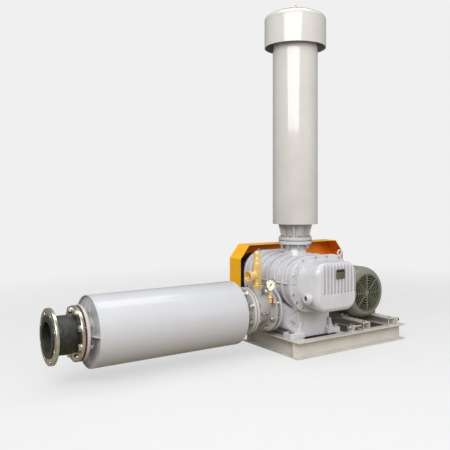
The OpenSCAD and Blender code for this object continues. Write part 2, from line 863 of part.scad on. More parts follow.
module rotor_bearings() {
    color(steel) for (x = [drive_x, driven_x]) translate([x, 0, rotor_z]) both_ends()
        difference() {
            rod_y(chamber_y + 10, chamber_y + 10 + bearing_w, bearing_d / 2);
            rod_y(chamber_y, face_y, shaft_r + run_gap);
        }
}

module shaft_seal() {
    color(dark) translate([drive_x, 0, rotor_z]) difference() {
        rod_y(chamber_y + 10 + bearing_w, face_y + 3, bearing_d / 2);
        rod_y(chamber_y, face_y + 4, shaft_r + run_gap);
    }
}

// Belt drive

groove_depth = 15;
groove_half = 8.6;
groove_tan = 0.344;

// Half a groove each side of every belt, from the rim down to the groove's floor
function groove_points(r, y) = [[r, y - groove_half],
    [r - groove_depth, y - groove_half + groove_depth * groove_tan],
    [r - groove_depth, y + groove_half - groove_depth * groove_tan], [r, y + groove_half]];

function belt_place(k) = pulley_w / 2 + (k - (belt_count - 1) / 2) * belt_pitch;

module pulley_section(pitch_d, bore_r, hub_r) {
    rim_r = pitch_d / 2 + 3.5;
    web = 14;
    polygon(concat([[bore_r, 0], [hub_r, 0], [hub_r, (pulley_w - web) / 2],
        [rim_r - 28, (pulley_w - web) / 2], [rim_r - 26, 0], [rim_r, 0]],
        [for (k = [0:belt_count - 1]) each groove_points(rim_r, belt_place(k))],
        [[rim_r, pulley_w], [rim_r - 26, pulley_w], [rim_r - 28, (pulley_w + web) / 2],
        [hub_r, (pulley_w + web) / 2], [hub_r, pulley_w], [bore_r, pulley_w]]));
}

module blower_pulley() {
    hub_r = 42;
    color(dark) translate([drive_x, 0, rotor_z]) difference() {
        turned_y(belt_y - pulley_w / 2) pulley_section(blower_pulley_d, shaft_r, hub_r);
        for (k = [0:4]) rotate([0, k * 72, 0]) translate([0, 0, (blower_pulley_d / 2 - 26 + hub_r) / 2])
            rod_y(belt_y - pulley_w, belt_y + pulley_w, 22);
    }
}

module motor_pulley() {
    color(dark) at_motor() turned_y(belt_y - pulley_w / 2)
        pulley_section(motor_pulley_d, motor_shaft_d / 2, motor_shaft_d - 2);
}

module belt_section(r) {
    low = belt_top - belt_h * belt_tan;
    polygon([[r - belt_h, -low], [r, -belt_top], [r, belt_top], [r - belt_h, low]]);
}

module v_belt() {
    big = blower_pulley_d / 2 + belt_rise;
    small = motor_pulley_d / 2 + belt_rise;
    reach = centres * sin(wrap);
    translate([drive_x, 0, rotor_z]) rotate([90, 0, 0]) {
        rotate([0, 0, line_angle + wrap]) rotate_extrude(angle = 360 - 2 * wrap)
            belt_section(big);
        rotate([0, 0, line_angle + wrap - 90]) rotate([90, 0, 90]) linear_extrude(reach)
            belt_section(big);
    }
    at_motor() rotate([90, 0, 0]) {
        rotate([0, 0, line_angle - wrap]) rotate_extrude(angle = 2 * wrap)
            belt_section(small);
        rotate([0, 0, line_angle - wrap - 90]) rotate([90, 0, 90]) linear_extrude(reach)
            belt_section(small);
    }
}

module v_belts() {
    color(dark) for (k = [0:belt_count - 1])
        translate([0, belt_y - pulley_w / 2 + belt_place(k), 0]) v_belt();
}

module guard_outline(inset) {
    x0 = guard_x0 + inset;
    x1 = guard_x1 - inset;
    z0 = guard_z0 + inset;
    z1 = guard_z1 - inset;
    cx = guard_cut_x - inset * 0.5;
    cz = guard_cut_z - inset * 0.5;
    polygon([[x0 + cx, z0], [x1 - cx, z0], [x1, z0 + cz], [x1, z1 - cz], [x1 - cx, z1],
        [x0 + cx, z1], [x0, z1 - cz], [x0, z0 + cz]]);
}

module belt_guard() {
    leg_y = guard_y0 + 11;
    color(guard_orange) {
        difference() {
            along_y(guard_y0, guard_y0 + guard_d) guard_outline(0);
            along_y(guard_y0 - 1, guard_y0 + guard_d - guard_t) guard_outline(guard_t);
            // Vents beside the pulleys in the back sheet
            for (x = [drive_x, motor_x], k = [-3:3])
                translate([x + k * 24 - 4, guard_y0 + guard_d - guard_t - 1,
                    (x == drive_x ? rotor_z : motor_z) - 30]) cube([8, guard_t + 2, 60]);
        }
        // Legs that stand on the rear channel
        for (x = [guard_x0 + 150, guard_x1 - 150]) {
            translate([x - 20, leg_y, channel_h]) cube([40, 5, guard_z0 - channel_h]);
            translate([x - 20, leg_y - 26, channel_h]) cube([40, 31, 5]);
        }
    }
}

// Intake silencer, filter and cap

module at_intake(z) {
    translate([intake_axis[0], intake_axis[1], z]) children();
}

module intake_silencer() {
    foot_z = inlet_z + gasket_t;
    tube_r = intake_d / 2;
    cone_z = intake_z - 52;
    color(paint) {
        at_intake(foot_z) flange(small_flange_d, inlet_bore, small_flange_t, small_pcd,
            small_hole_d);
        at_intake(foot_z + small_flange_t - e) ring(neck_r, inlet_bore / 2,
            cone_z - foot_z - small_flange_t + 2);
        at_intake(cone_z) difference() {
            union() {
                cylinder(h = 44 + e, r1 = 84, r2 = 98);
                translate([0, 0, 44]) cylinder(h = 8 + e, r = 106);
            }
            translate([0, 0, -1]) cylinder(h = 60, d = inlet_bore);
        }
        // Four gussets between the flange and the cone
        for (k = [0:3]) at_intake(foot_z + small_flange_t - e) rotate([0, 0, 90 * k])
            translate([0, 4, 0]) rotate([90, 0, 0]) linear_extrude(8)
                polygon([[neck_r - 2, 0], [70, 0], [84, cone_z - foot_z - small_flange_t + 1],
                    [neck_r - 2, cone_z - foot_z - small_flange_t + 1]]);
        at_intake(intake_z) ring(tube_r, inlet_bore / 2, end_plate_t);
        at_intake(intake_z) ring(tube_r, tube_r - sheet_t, intake_l);
        at_intake(intake_z + end_plate_t - e) ring(core_r, core_r - 2, intake_l - end_plate_t);
        at_intake(intake_top - 6) ring(tube_r - sheet_t + e, core_r - 2 + e, 6);
    }
}

module filter_element() {
    pleats = 36;
    inner_r = core_r + 34;
    depth = 24;
    color([0.90, 0.88, 0.80]) at_intake(intake_top + 6) linear_extrude(104) difference() {
        polygon([for (k = [0:2 * pleats - 1])
            let (r = inner_r + (k % 2 == 0 ? depth : 8)) r * [cos(k * 180 / pleats),
                sin(k * 180 / pleats)]]);
        circle(inner_r);
    }
    color(steel) at_intake(intake_top) ring(inner_r + depth + 2, inner_r - 2, 6);
    color(steel) at_intake(intake_top + 110) ring(inner_r + depth + 2, inner_r - 2, 4);
}

// Outline of the cap: upright skirt, rounded shoulder and shallow dome
knuckle = 34;

function cap_points(inset) =
    let (r = cap_d / 2 - inset, k = knuckle - inset, s = cap_skirt_h, top = s + cap_dome_h - inset,
        kx = r - k, side = top - s,
        crown = (kx * kx + side * side - k * k) / (2 * (side - k)),
        open = asin(kx / (crown - k)))
    concat([for (a = [0:15:90 - open]) [kx + k * cos(a), s + k * sin(a)]],
        [for (a = [open:-open / 6:0.01]) [crown * sin(a), top - crown + crown * cos(a)]],
        [[0, top]]);

module intake_cap() {
    color(paint) at_intake(cap_z) {
        difference() {
            rotate_extrude() polygon(concat([[0, 0], [cap_d / 2, 0]], cap_points(0)));
            rotate_extrude() polygon(concat([[0, -1], [cap_d / 2 - sheet_t, -1]],
                cap_points(sheet_t)));
            translate([0, 0, cap_skirt_h]) cylinder(h = cap_dome_h * 2, r = rod_r + cap_hole_gap);
        }
    }
}

module cap_tie_rod() {
    seat = cap_top - sheet_t;
    color(steel) {
        at_intake(intake_top + 1) cylinder(h = cap_top + 4 - intake_top - 1, r = rod_r);
        at_intake(intake_top) for (k = [0:2]) rotate([0, 0, 120 * k])
            translate([0, -10, 0]) cube([core_r + 26, 20, 5]);
        at_intake(intake_top) cylinder(h = 18, r = 18);
        at_intake(seat - 12.8) hexagon(24, 12);
    }
}

module cap_eye_nut() {
    color(brass) at_intake(cap_top + 0.1) {
        difference() {
            cylinder(h = 9, r = 13);
            translate([0, 0, -1]) cylinder(h = 6, r = rod_r + run_gap);
        }
        translate([0, 0, 18.6]) rotate([90, 0, 0]) torus(10, 3.5);
    }
}

module intake_gasket() {
    color(dark) at_intake(inlet_z) flange(small_flange_d - 2, inlet_bore, gasket_t, small_pcd,
        small_hole_d);
}

module intake_bolts() {
    grip = 2 * small_flange_t + 2 + gasket_t;
    color(zinc) at_intake(inlet_z + gasket_t + small_flange_t) mirror([0, 0, 1])
        bolt_circle(8, small_pcd) hex_bolt(small_bolt_d, grip);
}

// Discharge line

module pipe_x(x0, x1, outer, inner) {
    difference() {
        rod_x(x0, x1, outer);
        rod_x(x0 - 1, x1 + 1, inner);
    }
}

module flange_x(x0, t, bore = outlet_bore, hole = big_hole_d) {
    translate([x0, 0, 0]) rotate([0, 90, 0]) flange(big_flange_d, bore, t, big_pcd, hole);
}

module tee_pipe() {
    color(paint) at_outlet() difference() {
        union() {
            rod_x(tee_x0, tee_x1, outlet_d / 2);
            flange_x(tee_x0, big_flange_t, 10);
            flange_x(tee_x1 - big_flange_t, big_flange_t, 10);
            translate([relief_x, 0, 0]) cylinder(h = socket_h, r = 31);
            translate([gauge_x, 0, port_z - outlet_z]) rod_y(port_y, 0, 12);
        }
        rod_x(tee_x0 - 1, tee_x1 + 1, outlet_bore / 2);
        translate([relief_x, 0, 0]) cylinder(h = socket_h + 1, r = relief_bore);
        translate([gauge_x, 0, port_z - outlet_z]) rod_y(port_y - 1, 0, siphon_d / 2);
    }
}

module check_valve_body() {
    wafer_r = big_pcd / 2 - big_bolt_d / 2 - 2;
    color(steel) at_outlet() difference() {
        rod_x(check_x, check_x + check_t, wafer_r);
        rod_x(check_x - 1, check_x + check_t + 1, seat_r);
        // Recess that the flap shuts into, and the pocket of its hinge
        rod_x(check_x - 1, check_x + flap_t + 1, flap_r + 3);
        translate([check_x - 1, -18, 0]) cube([check_t - 1, 36, flap_pin_z + 9]);
        translate([flap_pin_x, 0, flap_pin_z]) rod_y(-32, 32, flap_pin_r + run_gap);
    }
}

module check_valve_flap() {
    color(steel) at_outlet() {
        rod_x(check_x + 1 - flap_gap, check_x + flap_t + 1 - flap_gap, flap_r);
        translate([flap_pin_x, 0, flap_pin_z]) rod_y(-31, 31, flap_pin_r);
        translate([check_x + 1 - flap_gap, -14, flap_r - 20])
            cube([flap_t, 28, flap_pin_z - flap_r + 18]);
        translate([flap_pin_x - 4, 0, flap_pin_z]) along_y(-14, 14) {
            translate([-2, -6]) square([6, 11]);
        }
        translate([check_x - 7, 0, 0]) rod_x(0, 10, 9);
    }
}

module at_relief(z) {
    translate([relief_x, 0, z]) children();
}

module relief_body() {
    body_h = bonnet_z - relief_z;
    color(brass) difference() {
        union() {
            at_relief(relief_z) hexagon(relief_d + 6, 22);
            at_relief(relief_z + 22 - e) cylinder(h = body_h - 22, d = relief_d);
            at_relief(relief_z + 30) cylinder(h = 6, d = relief_d + 5);
            at_relief(relief_z + body_h - 12) cylinder(h = 12, d = relief_d + 4);
            translate([relief_x, 0, vent_z]) {
                rod_x(-vent_reach, 0, 27);
                rod_x(-vent_reach, 12 - vent_reach, 37);
                translate([-vent_reach + 12, 0, 0]) rotate([0, 90, 0])
                    cylinder(h = 22, r1 = 37, r2 = 27);
            }
        }
        at_relief(relief_z - 1) cylinder(h = 60, r = relief_bore);
        at_relief(relief_seat) cylinder(h = bonnet_z, r = relief_d / 2 - 5);
        translate([relief_x, 0, vent_z]) rod_x(-vent_reach - 1, 0, vent_bore);
    }
}

module relief_bonnet() {
    color(brass) difference() {
        union() {
            at_relief(bonnet_z) cylinder(h = 10, d = relief_d + 2);
            at_relief(bonnet_z + 10 - e) cylinder(h = 30, r1 = 25, r2 = 22);
            at_relief(bonnet_z + 40 - 2 * e)
                cylinder(h = relief_h - 146 - 40 - 14, r = 21);
            at_relief(relief_z + relief_h - 21) intersection() {
                sphere(r = 21);
                translate([0, 0, -1]) cylinder(h = 22, r = 21);
            }
            at_relief(bonnet_z + 46) torus(21, 1.6);
        }
        at_relief(bonnet_z - 1) cylinder(h = spring_roof - bonnet_z + 1, r = 14);
    }
}

module relief_disc() {
    color(steel) {
        at_relief(relief_seat + slide_gap) cylinder(h = disc_t, r = relief_bore + 3);
        at_relief(relief_seat + disc_t)
            cylinder(h = spring_roof - relief_seat - disc_t - relief_lift - 20, r = 5);
    }
}

// Helical spring swept from round rings along the coil
spring_turns = 8;
spring_r = 10;
wire_r = 1.5;
ring_sides = 8;
ring_steps = 20;

module relief_spring() {
    z0 = relief_seat + slide_gap + disc_t + wire_r + 0.2;
    z1 = spring_roof - wire_r - 0.2;
    n = spring_turns * ring_steps;
    pts = [for (i = [0:n], j = [0:ring_sides - 1])
        let (a = i * 360 / ring_steps, b = j * 360 / ring_sides, r = spring_r + wire_r * cos(b))
        [r * cos(a), r * sin(a), z0 + (z1 - z0) * i / n + wire_r * sin(b)]];
    sides = [for (i = [0:n - 1], j = [0:ring_sides - 1])
        let (k = (j + 1) % ring_sides)
        [i * ring_sides + j, i * ring_sides + k, (i + 1) * ring_sides + k,
            (i + 1) * ring_sides + j]];
    ends = [[for (j = [ring_sides - 1:-1:0]) j], [for (j = [0:ring_sides - 1])
        n * ring_sides + j]];
    color(steel) translate([relief_x, 0, 0]) polyhedron(pts, concat(sides, ends));
}

// Pressure gauge on its siphon tube and cock

module siphon_tube() {
    r = siphon_d / 2;
    color(zinc) translate([gauge_x, 0, 0]) {
        translate([0, 0, port_z]) rod_y(siphon_y + siphon_bend, port_y, r);
        translate([0, siphon_y + siphon_bend, port_z + siphon_bend]) rotate([0, 90, 0])
            rotate_extrude(angle = -90) translate([siphon_bend, 0]) circle(r);
        translate([0, siphon_y, port_z + siphon_bend])
            cylinder(h = cock_z - port_z - siphon_bend, r = r);
        translate([0, port_y - 14, port_z]) rotate([-90, 0, 0]) hexagon(19, 14);
    }
}

module cock_body() {
    color(brass) translate([gauge_x, siphon_y, 0]) difference() {
        union() {
            translate([0, 0, cock_z]) hexagon(19, 14);
            translate([0, 0, cock_z + 14 - e]) cylinder(h = 30, r = 9);
            translate([0, 0, cock_z + 29]) sphere(r = 11.5);
            translate([0, 0, cock_z + 44 - 2 * e]) hexagon(17, cock_h - 44);
            translate([0, 0, cock_z + 29]) rod_x(0, 14, 6);
        }
        translate([0, 0, cock_z + 29]) rod_x(0, 15, 3 + run_gap);
        translate([0, 0, gauge_z]) rod_y(-siphon_d, siphon_d, gauge_r + run_gap);
    }
}

module cock_lever() {
    lever_l = 52;
    translate([gauge_x, siphon_y, cock_z + 29]) {
        color(steel) rod_x(1, 20, 3);
        color([0.80, 0.10, 0.08]) {
            translate([14 + slide_gap, 0, 0]) rod_x(0, 3, 8);
            translate([14 + slide_gap, -6, 14 - lever_l]) cube([3, 12, lever_l - 14]);
            translate([14 + slide_gap, 0, 14 - lever_l]) rod_x(0, 3, 6);
        }
    }
}

module at_gauge() {
    translate([gauge_x, siphon_y + 3, gauge_z]) children();
}

module gauge_case() {
    color([0.12, 0.13, 0.13]) at_gauge() {
        difference() {
            rod_y(-gauge_t / 2, gauge_t / 2, gauge_r);
            rod_y(-gauge_t / 2 - 1, gauge_t / 2 - 8, gauge_r - 4);
        }
        difference() {
            rod_y(-gauge_t / 2 - 3, -gauge_t / 2, gauge_r);
            rod_y(-gauge_t / 2 - 4, -gauge_t / 2 + 1, gauge_r - 5);
        }
        // Bearing of the needle's spindle
        difference() {
            rod_y(-3.8, gauge_t / 2 - 8 + e, 4);
            rod_y(-4, gauge_t / 2 - 8 - e, needle_r + run_gap);
        }
    }
}

module gauge_dial() {
    color("white") at_gauge() difference() {
        rod_y(-6, -4, gauge_r - 4.2);
        rod_y(-7, -3, needle_r + 0.5);
    }
}

module gauge_needle() {
    color(dark) at_gauge() rotate([0, -135, 0]) {
        rod_y(-9.5, 3, needle_r);
        rod_y(-9.5, -7, 4);
        along_y(-9, -8) polygon([[-1.8, -16], [1.8, -16], [0.5, gauge_r - 9],
            [-0.5, gauge_r - 9]]);
    }
}

module gauge_glass() {
    color([0.85, 0.92, 0.95, 0.35]) at_gauge() rod_y(-gauge_t / 2 + 0.2, -gauge_t / 2 + 2.2,
        gauge_r - 4 - run_gap);
}

// Discharge silencer

module end_gussets(x0, x1, outer_r) {
    for (k = [0:3]) rotate([90 * k, 0, 0]) translate([0, 4, 0]) rotate([90, 0, 0])
        linear_extrude(8) polygon([[x0, outlet_d / 2 - 2], [x1, outlet_d / 2 - 2], [x1, outer_r],
            [x0, outlet_d / 2 + 12]]);
}

module discharge_silencer() {
    shell_r = silencer_d / 2;
    recess = 12;
    plate_t = 6;
    color(paint) at_outlet() {
        pipe_x(shell_x0, shell_x1, shell_r, shell_r - sheet_t);
        for (x = [shell_x0 + recess, shell_x1 - recess - plate_t])
            pipe_x(x, x + plate_t, shell_r - sheet_t + e, outlet_bore / 2);
        pipe_x(silencer_x0, silencer_x1, outlet_d / 2, outlet_bore / 2);
        flange_x(silencer_x0, big_flange_t);
        flange_x(silencer_x1 - big_flange_t, big_flange_t);
        end_gussets(silencer_x0 + big_flange_t - e, shell_x0 + recess + e, shell_r - 12);
        mirror([1, 0, 0])
            end_gussets(-silencer_x1 + big_flange_t - e, -shell_x1 + recess + e, shell_r - 12);
    }
}

module flange_gaskets() {
    small_r = big_pcd / 2 - big_bolt_d / 2 - 2;
    color([0.55, 0.27, 0.12]) at_outlet() {
        for (x = [outlet_x - gasket_t, tee_x1])
            pipe_x(x, x + gasket_t, small_r, outlet_bore / 2);
        for (x = [tee_x0 - gasket_t, silencer_x0 - gasket_t])
            flange_x(x, gasket_t);
    }
}

module discharge_bolts() {
    color(zinc) {
        // Studs through the check valve into the pedestal's tapped flange
        translate([tee_x1 - big_flange_t, 0, outlet_z]) rotate([0, 90, 0])
            bolt_circle(8, big_pcd) {
                translate([0, 0, -1.1 * big_bolt_d]) cylinder(d = big_bolt_d,
                    h = 1.1 * big_bolt_d + 2 * big_flange_t + 2 * gasket_t + check_t - 4);
                translate([0, 0, -0.8 * big_bolt_d]) hexagon(1.5 * big_bolt_d, 0.8 * big_bolt_d);
            }
        translate([silencer_x1 - big_flange_t, 0, outlet_z]) rotate([0, 90, 0])
            bolt_circle(8, big_pcd) stud(big_bolt_d, 2 * big_flange_t + gasket_t);
        translate([rubber_x1 - lip_t - ring_t, 0, outlet_z]) rotate([0, 90, 0])
            bolt_circle(8, big_pcd)
                hex_bolt(big_bolt_d, ring_t + lip_t + gasket_t + big_flange_t);
    }
}

module rubber_joint() {
    bore = 75;
    waist = rubber_d / 2 - 12;
    flat = lip_t + ring_t;
    color(dark) translate([rubber_x0, 0, outlet_z]) rotate([0, 90, 0]) rotate_extrude()
        difference() {
            union() {
                translate([bore, 0]) square([30, lip_t]);
                translate([bore, rubber_l - lip_t]) square([30, lip_t]);
                translate([bore, 1]) square([waist - bore, rubber_l - 2]);
                translate([bore, flat]) square([rubber_d / 2 - bore - 5, rubber_l - 2 * flat]);
                // The arch swells a little between the two steel rings
                intersection() {
                    translate([rubber_d / 2 - 260, rubber_l / 2]) circle(260, $fn = 128);
                    translate([bore, flat]) square([60, rubber_l - 2 * flat]);
                }
            }
            translate([bore - 1, -1]) square([1, rubber_l + 2]);
        }
}

module joint_flanges() {
    waist = rubber_d / 2 - 12;
    color(zinc) at_outlet() {
        flange_x(rubber_x0 + lip_t, ring_t, 2 * waist, free_hole_d);
        flange_x(rubber_x1 - lip_t - ring_t, ring_t, 2 * waist);
    }
}

// Motor

module motor_frame() {
    fin_t = 4;
    gap_front = frame_front_y;
    color(motor_green) at_motor() difference() {
        union() {
            rod_y(gap_front, frame_back_y, skin_r);
            // Cooling fins, level on the sides and upright above and below
            intersection() {
                rod_y(gap_front + 6, frame_back_y - 6, motor_d / 2);
                union() {
                    for (k = [-4:4]) translate([-motor_d / 2, gap_front, k * 18 - fin_t / 2])
                        cube([motor_d, frame_back_y - gap_front, fin_t]);
                    for (k = [-4:4]) translate([k * 18 - fin_t / 2, gap_front, -motor_d / 2])
                        cube([fin_t, frame_back_y - gap_front, motor_d]);
                }
            }
            // Feet
            for (sx = [-1, 1]) {
                translate([sx * motor_foot_x / 2 - 28, hole_front_y - 30, -motor_h])
                    cube([56, motor_foot_y + 60, 16]);
                for (y = [gap_front + 11, hole_back_y - 34])
                    translate([sx * (motor_foot_x / 2 - 21) - 7, y, -motor_h])
                        cube([14, 60, motor_h - skin_r * 0.62]);
            }
            // Pad under the terminal box
            translate([skin_r - 14, box_mid_y - box_l / 2 + 10, -40])
                cube([motor_d / 2 - skin_r + 14, box_l - 20, 90]);
            // Lifting eye
            translate([0, gap_front + 30, motor_d / 2 + 16]) rotate([0, 90, 0]) torus(14, 5);
            translate([0, gap_front + 30, skin_r - 4]) cylinder(h = motor_d / 2 - skin_r + 10, r = 10);
        }
        rod_y(gap_front - 1, frame_back_y + 1, stator_r);
        for (y = [hole_front_y, hole_back_y], sx = [-1, 1])
            translate([sx * motor_foot_x / 2, y, -motor_h - 1]) cylinder(h = 18, d = 14.5);
    }
}

module motor_end_shields() {
    color(motor_green) at_motor() difference() {
        union() {
            rod_y(frame_back_y, frame_back_y + 12, motor_d / 2 - 20);
            translate([0, frame_back_y + 12 - e, 0]) rotate([-90, 0, 0])
                cylinder(h = shoulder_y - frame_back_y - 20, r1 = stator_r + 18,
                    r2 = stator_r - 10);
            rod_y(frame_front_y - 14, frame_front_y, motor_d / 2 - 20);
            rod_y(frame_front_y - 24, frame_front_y - 14 + e, stator_r - 12);
        }
        rod_y(frame_front_y - 30, shoulder_y, motor_shaft_d / 2 + run_gap);
    }
}

module motor_cowl() {
    wall = 2.5;
    r = cowl_d / 2;
    dome = 64;
    back_y = frame_front_y + 10;
    face = cowl_front_y;
    color(motor_green) at_motor() {
        // Sleeve and rounded shoulder
        turned_y(face) polygon([
            [grille_d / 2, 0], [grille_d / 2 + 4, 0], [r - 34, 7], [r - 24, 15], [r - 14, 26],
            [r - 6, 40], [r - 2, 51], [r, dome], [r, back_y - face], [r - wall, back_y - face],
            [r - wall, dome], [r - wall - 2, 51], [r - wall - 6, 40 + wall],
            [r - wall - 14, 26 + wall], [r - 25, 15 + wall], [r - 35, 7 + wall],
            [grille_d / 2 + 3, wall], [grille_d / 2, wall]]);
        // Grille bars
        for (k = [1:6]) {
            outer = 18 + k * (grille_d / 2 - 18) / 6;
            if (k < 6) turned_y(face) translate([outer - 6, 0]) square([6, wall]);
        }
        rod_y(face, face + wall, 18);
        for (k = [0:7]) rotate([0, k * 45, 0]) translate([14, face, -4])
            cube([grille_d / 2 - 13, wall, 8]);
        // Tabs that screw to the end shield
        for (k = [0:3]) rotate([0, 45 + 90 * k, 0])
            translate([motor_d / 2 - 20, frame_front_y - 12, -8])
                cube([r - wall - motor_d / 2 + 21, 8, 16]);
    }
}

module motor_shaft() {
    r = motor_shaft_d / 2;
    color(steel) at_motor() {
        rod_y(cowl_front_y + 24, motor_tail_y, r);
        rod_y(frame_front_y + 6, frame_back_y - 6, stator_r - 2);
    }
}

module motor_fan() {
    hub_y = cowl_front_y + 30;
    tail_y = frame_front_y - 30;
    tip_r = cowl_d / 2 - 30;
    color(dark) at_motor() difference() {
        union() {
            rod_y(hub_y, tail_y, 34);
            rod_y(tail_y - 5, tail_y, tip_r);
            for (k = [0:6]) rotate([0, k * 360 / 7, 0])
                translate([30, hub_y + 4, -2]) cube([tip_r - 32, tail_y - hub_y - 6, 4]);
        }
        rod_y(hub_y - 1, tail_y + 1, motor_shaft_d / 2);
    }
}

module terminal_box() {
    w = 62;
    front = box_mid_y - box_l / 2;
    color(motor_green) at_motor() difference() {
        union() {
            translate([motor_d / 2, front, -46]) cube([w, box_l, 110]);
            translate([motor_d / 2 + w, front - 3, -49]) cube([6, box_l + 6, 116]);
            translate([motor_d / 2 + w / 2, 0, 0]) rod_y(front - 12, front + e, 20);
        }
        translate([motor_d / 2 + 5, front + 5, -41]) cube([w - 5, box_l - 10, 100]);
        translate([motor_d / 2 + w / 2, 0, 0]) rod_y(front - 13, front + 6, 12.5);
    }
}

// Carriage: rails, bolts and jacking bolts

module motor_rail(x) {
    translate([x, 0, rail_z]) difference() {
        along_y(-rail_l / 2, rail_l / 2) polygon([[0, 0], [rail_w, 0], [rail_w, rail_h],
            [0, rail_h], [0, rail_h - rail_t], [rail_w - rail_t, rail_h - rail_t],
            [rail_w - rail_t, rail_t], [0, rail_t]]);
        both_ends() translate([clamp_inset, clamp_y, -1])
            cylinder(h = rail_h + 2, d = carriage_bolt_d + 1);
    }
}

module motor_rails() {
    color(paint) difference() {
        union() {
            motor_rail(left_rail_x);
            motor_rail(right_rail_x);
        }
        for (sx = [-1, 1], y = [hole_front_y, hole_back_y])
            translate([motor_x + sx * motor_foot_x / 2, y, rail_z + rail_h - rail_t - 1])
                cylinder(h = rail_t + 2, d = 14.5);
    }
}

module clamp_bolts() {
    grip = rail_h + channel_flange + 2 * slide_gap;
    color(zinc) both_ends() for (x = [left_rail_x, right_rail_x])
        translate([x + clamp_inset, clamp_y, channel_h - channel_flange - slide_gap])
            hex_bolt(carriage_bolt_d, grip);
}

module motor_foot_bolts() {
    color(zinc) for (sx = [-1, 1], y = [hole_front_y, hole_back_y])
        translate([motor_x + sx * motor_foot_x / 2, y, rail_z + rail_h + 16])
            mirror([0, 0, 1]) hex_bolt(carriage_bolt_d, 16 + rail_t);
}

module jack_bolts() {
    color(zinc) both_ends() translate([0, jack_y, jack_z]) {
        translate([left_lug_x - belt_take_up - 7, 0, 0]) rotate([0, 90, 0])
            hex_bolt(carriage_bolt_d, left_rail_x + rail_w - rail_t - left_lug_x + belt_take_up
                + 7, false);
        translate([right_lug_x + lug_t + belt_take_up + 7, 0, 0]) rotate([0, -90, 0])
            hex_bolt(carriage_bolt_d, right_lug_x + lug_t + belt_take_up + 7 - right_rail_x
                - rail_w, false);
    }
}

module nameplate() {
    color(steel) at_blower() translate([-16, -face_y - cover_d - 1.5, 38])
        cube([70, 1.5, 57]);
}

base_frame();
jack_brackets();
pedestal();
pedestal_bolts();
casing();
front_side_plate();
rear_side_plate();
gear_cover();
blower_screws();
sight_glass();
drain_plug();
breather_plug();
lifting_eyes();
drive_rotor();
driven_rotor();
drive_gear();
driven_gear();
rotor_bearings();
shaft_seal();
blower_pulley();
v_belts();
motor_pulley();
belt_guard();
intake_silencer();
filter_element();
intake_cap();
cap_eye_nut();
cap_tie_rod();
intake_gasket();
intake_bolts();
tee_pipe();
check_valve_body();
check_valve_flap();
relief_body();
relief_bonnet();
relief_disc();
relief_spring();
siphon_tube();
cock_body();
cock_lever();
gauge_case();
gauge_dial();
gauge_needle();
gauge_glass();
discharge_silencer();
flange_gaskets();
discharge_bolts();
rubber_joint();
joint_flanges();
motor_frame();
motor_end_shields();
motor_cowl();
motor_shaft();
motor_fan();
terminal_box();
motor_rails();
clamp_bolts();
motor_foot_bolts();
jack_bolts();
nameplate();
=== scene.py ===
import math

import bmesh
import bpy
from mathutils import Matrix, Vector, noise


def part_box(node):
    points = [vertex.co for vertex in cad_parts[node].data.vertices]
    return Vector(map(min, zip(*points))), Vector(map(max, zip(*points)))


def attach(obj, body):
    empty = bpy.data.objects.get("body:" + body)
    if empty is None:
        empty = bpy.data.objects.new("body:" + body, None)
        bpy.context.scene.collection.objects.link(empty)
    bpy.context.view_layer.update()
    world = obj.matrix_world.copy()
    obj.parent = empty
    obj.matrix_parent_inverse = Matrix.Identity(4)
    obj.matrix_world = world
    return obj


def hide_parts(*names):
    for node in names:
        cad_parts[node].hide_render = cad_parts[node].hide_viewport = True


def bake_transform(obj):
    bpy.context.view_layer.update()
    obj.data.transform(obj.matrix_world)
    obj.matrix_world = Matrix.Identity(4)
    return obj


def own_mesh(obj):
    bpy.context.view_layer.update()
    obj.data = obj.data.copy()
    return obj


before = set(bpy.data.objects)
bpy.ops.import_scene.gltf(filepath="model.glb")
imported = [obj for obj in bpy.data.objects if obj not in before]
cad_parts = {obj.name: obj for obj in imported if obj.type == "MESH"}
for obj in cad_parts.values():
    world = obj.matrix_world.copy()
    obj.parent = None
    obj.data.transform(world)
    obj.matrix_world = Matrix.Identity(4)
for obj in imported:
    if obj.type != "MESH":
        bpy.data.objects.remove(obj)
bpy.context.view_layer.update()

MM = 0.001
FLOAT = "NodeSocketFloat"
COLOUR = "NodeSocketColor"
VECTOR = "NodeSocketVector"
FULL_TURN = 2 * math.pi
BODY = "package"
CARRIAGE = "motor_carriage"
BEVEL_SAMPLES = 6


def new_object(name, data):
    made = bpy.data.objects.new(name, data)
    bpy.context.scene.collection.objects.link(made)
    return made


def aim(made, place, direction):
    """Puts a camera or a lamp at its place and turns it along a direction."""
    made.location = place
    made.rotation_mode = "QUATERNION"
    made.rotation_quaternion = Vector(direction).to_track_quat("-Z", "Y")


# Camera: level, at the height of a seated person's eyes, seen from the discharge side
def make_camera():
    camera = bpy.data.cameras.new("camera")
    camera.lens = 47.15
    camera.shift_x = -0.0282
    camera.shift_y = -0.0653
    viewer = new_object("camera", camera)
    aim(viewer, (-2.667, -2.894, 0.952), (0.5635, 0.8261, 0))
    bpy.context.scene.camera = viewer


# Node building

def screen(red, green, blue):
    """A colour named as it shows on a screen, 0 to 255, turned into linear light."""
    shares = (channel / 255 for channel in (red, green, blue))
    return tuple(((s + 0.055) / 1.055) ** 2.4 for s in shares) + (1.0,)


def add(tree, kind, inputs=None, **settings):
    """A new node; an input takes a value, or a link where it is given a socket."""
    node = tree.nodes.new(kind)
    for key, value in settings.items():
        setattr(node, key, value)
    for key, value in (inputs or {}).items():
        if isinstance(value, bpy.types.NodeSocket):
            tree.links.new(value, node.inputs[key])
        else:
            node.inputs[key].default_value = value
    return node


def calc(tree, operation, *values, clamp=False):
    """The result of one Math node."""
    return add(tree, "ShaderNodeMath", dict(enumerate(values)), operation=operation,
               use_clamp=clamp).outputs[0]


def times(tree, first, second, clamp=False):
    return calc(tree, "MULTIPLY", first, second, clamp=clamp)


